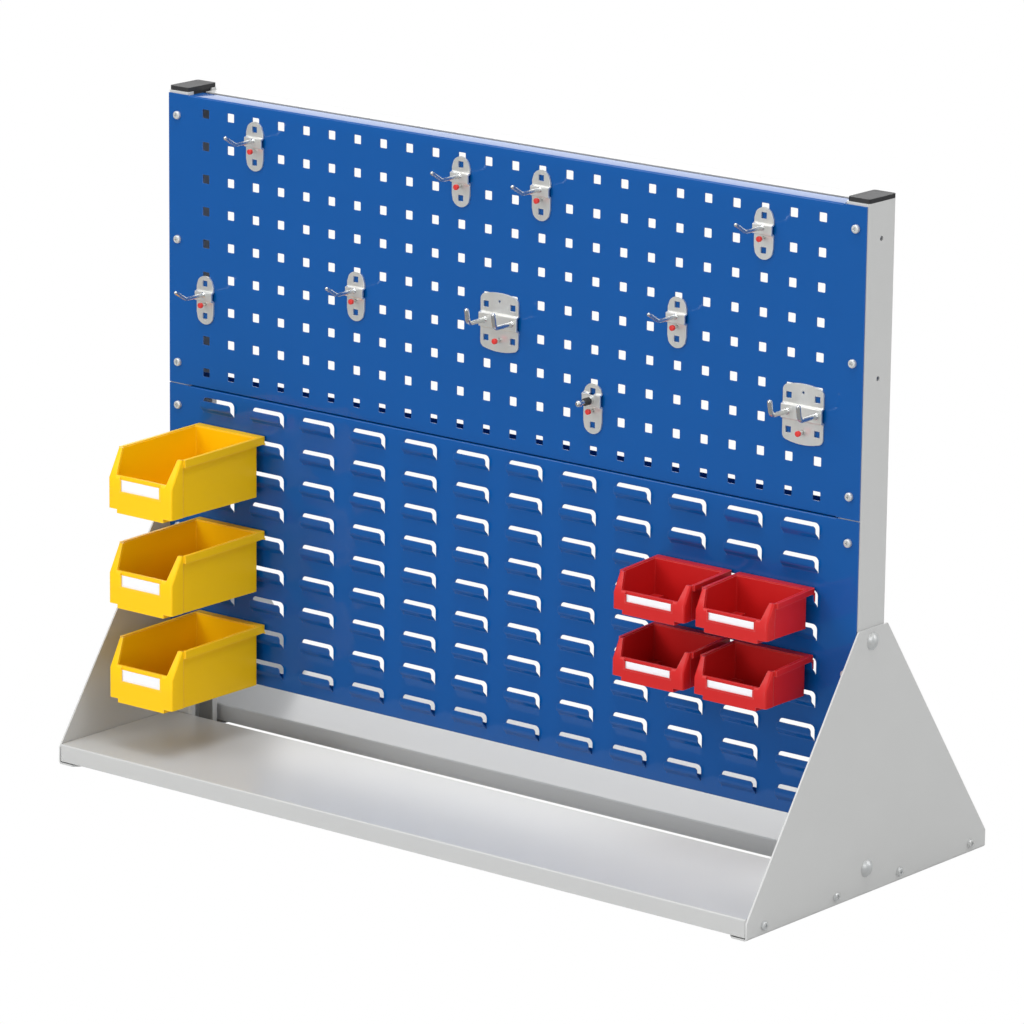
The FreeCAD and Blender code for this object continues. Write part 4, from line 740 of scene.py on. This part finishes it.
def slab(x0, x1, y0, y1, z0, z1):
    """Box between two values on each axis: eight corners and six outward faces."""
    corners = [(x, y, z) for x in (x0, x1) for y in (y0, y1) for z in (z0, z1)]
    return corners, [(0, 1, 3, 2), (4, 6, 7, 5), (0, 4, 5, 1), (2, 3, 7, 6), (0, 2, 6, 4), (1, 5, 7, 3)]


def bin_mesh(**sizes):
    """Whole bin: the columns and their mirror image as one loop, closed by its floor, with the hanging
    lip, the rib that bears, and the three strips that hold the card in its pocket."""
    right = bin_columns(**sizes)
    loop = np.concatenate([right, (right * (-1, 1, 1))[-2:0:-1]])
    count, rows = loop.shape[:2]
    index = np.arange(count * rows).reshape(count, rows)
    after = np.roll(index, -1, 0)
    quads = np.stack([index[:, :-1], index[:, 1:], after[:, 1:], after[:, :-1]], -1).reshape(-1, 4)
    faces = [tuple(quad) for quad in quads] + [tuple(index[:, 0]), tuple(index[::-1, -1])]
    rim, face = sizes["rim"], -sizes["length"]
    lip = slab(-RIM_HALF, RIM_HALF, BACK - 2.5, BACK, -rim - 9.3, -rim + 1)
    rib = slab(-39, 39, -12.6, -6.8, -rim - 41.7, -rim - 38.7)
    edge, top = sizes["card_width"] / 2 + 0.5, sizes["front"] - sizes["height"]
    ledge = top - CARD_MARGIN - sizes["card_height"]
    strips = [slab(x, x + 1.9, face - 0.1, face + 0.9, ledge + 0.5, top - 0.1)
              for x in (0.1 - edge, edge - 2)]
    strips.append(slab(-edge, edge, face - 0.2, face + 1, ledge - 0.2, ledge + 1.5))
    return join([(loop.reshape(-1, 3), faces), lip, rib] + strips)


for kind, paint, sizes, seats in (
        ("yellow_bin", yellow_plastic,
         dict(length=160, height=75, rim=9, fall=3, slant=17, front=40, lift=4, foot=4.5,
              card_width=62, card_height=14.5),
         ((-395.5, 380), (-395.5, 267.5), (-395.5, 155))),
        ("red_bin", red_plastic,
         dict(length=84, height=48, rim=6.2, fall=4, slant=11, front=23, lift=3, foot=4.5,
              card_width=64, card_height=9),
         ((277.5, 339.7), (389, 339.7), (277.5, 264.7), (389, 264.7)))):
    for number, (x, z) in enumerate(seats, start=1):
        points, faces = bin_mesh(**sizes)
        label = f"{kind}_{number}"
        shell = piece(f"{label}_shell", points + (x, PANEL_FACE, z), faces, paint, kind, label, label)
        soften(shell, 0.5, 3, 30)
        dress([f"{label}_card"], card_paper)

# Camera: at the photograph's place and angle, from a fit to the holes, the corners and the feet. Its
# slight roll comes from the same fit. It has no shift and no depth of field.
FOCAL_PIXELS, IMAGE_PIXELS, SENSOR = 6033.5, 1024, 36
camera = bpy.data.objects.new("camera", bpy.data.cameras.new("camera"))
bpy.context.scene.collection.objects.link(camera)
camera.location = (4.1053, -5.1054, 2.0266)
camera.rotation_euler = (math.radians(90 - 14.417), 0, math.radians(38.843))
camera.rotation_euler.rotate_axis("Z", math.radians(0.6345))
camera.data.sensor_width = SENSOR
camera.data.lens = FOCAL_PIXELS / IMAGE_PIXELS * SENSOR
camera.data.clip_end = 100
bpy.context.scene.camera = camera
bpy.context.scene.view_settings.view_transform = "Standard"

# Studio: a pale floor and a pale surround that the camera sees as plain white, and six soft lamps. The
# floor sends light up to the undersides. Mirror images of floor and surround are dimmer than what the
# camera sees of them, so that gloss stays deep.
HALF_FLOOR = 12
corners = ((-1, -1), (1, -1), (1, 1), (-1, 1))
floor_mesh = bpy.data.meshes.new("floor")
floor_mesh.from_pydata([(x * HALF_FLOOR, y * HALF_FLOOR, 0) for x, y in corners], [], [(0, 1, 2, 3)])
floor = bpy.data.objects.new("floor", floor_mesh)
bpy.context.scene.collection.objects.link(floor)
floor_paint = bpy.data.materials.new("floor_paint")
floor_paint.use_nodes = True
tree = floor_paint.node_tree
pale = tree.nodes["Principled BSDF"]
pale.inputs["Base Color"].default_value = (0.8, 0.8, 0.8, 1)
pale.inputs["Roughness"].default_value = 0.9
seen = tree.nodes.new("ShaderNodeLightPath")
shown = pale.outputs["BSDF"]
for ray, strength in (("Is Glossy Ray", 0.25), ("Is Camera Ray", 1)):
    glow = tree.nodes.new("ShaderNodeEmission")
    glow.inputs["Strength"].default_value = strength
    swap = tree.nodes.new("ShaderNodeMixShader")
    tree.links.new(seen.outputs[ray], swap.inputs["Fac"])
    tree.links.new(shown, swap.inputs[1])
    tree.links.new(glow.outputs["Emission"], swap.inputs[2])
    shown = swap.outputs["Shader"]
tree.links.new(shown, tree.nodes["Material Output"].inputs["Surface"])
floor_mesh.materials.append(floor_paint)

world = bpy.data.worlds.new("studio")
bpy.context.scene.world = world
world.use_nodes = True
tree = world.node_tree
seen = tree.nodes.new("ShaderNodeLightPath")
shown = tree.nodes["Background"].outputs["Background"]
tree.nodes["Background"].inputs["Color"].default_value = (1, 1, 1, 1)
tree.nodes["Background"].inputs["Strength"].default_value = 0.6
for ray, strength in (("Is Glossy Ray", 0.24), ("Is Camera Ray", 1)):
    sky = tree.nodes.new("ShaderNodeBackground")
    sky.inputs["Color"].default_value = (1, 1, 1, 1)
    sky.inputs["Strength"].default_value = strength
    swap = tree.nodes.new("ShaderNodeMixShader")
    tree.links.new(seen.outputs[ray], swap.inputs["Fac"])
    tree.links.new(shown, swap.inputs[1])
    tree.links.new(sky.outputs["Background"], swap.inputs[2])
    shown = swap.outputs["Shader"]
tree.links.new(shown, tree.nodes["World Output"].inputs["Surface"])

for name, place, target, width, power in (
        ("key", (-2.6, -3.6, 3.4), (0, 0, 0.4), 2.6, 72),
        ("top", (0.5, -0.5, 4.2), (0, 0, 0.3), 2.4, 98),
        ("side", (7.2, -1.5, 3.2), (0, 0, 0.3), 3.0, 68),
        ("fill", (-0.4, -5.0, 0.5), (0, 0, 0.1), 2.0, 56),
        ("rear_side", (3.4, 3.0, 2.0), (-0.3, 0.1, 0.2), 2.0, 26),
        ("rear", (-2.9, 3.9, 2.3), (0, 0, 0.5), 3.0, 48)):
    lamp = bpy.data.lights.new(name, "AREA")
    lamp.size = width
    lamp.energy = power
    light = bpy.data.objects.new(name, lamp)
    light.location = place
    light.rotation_euler = (Vector(target) - Vector(place)).to_track_quat("-Z", "Y").to_euler()
    bpy.context.scene.collection.objects.link(light)
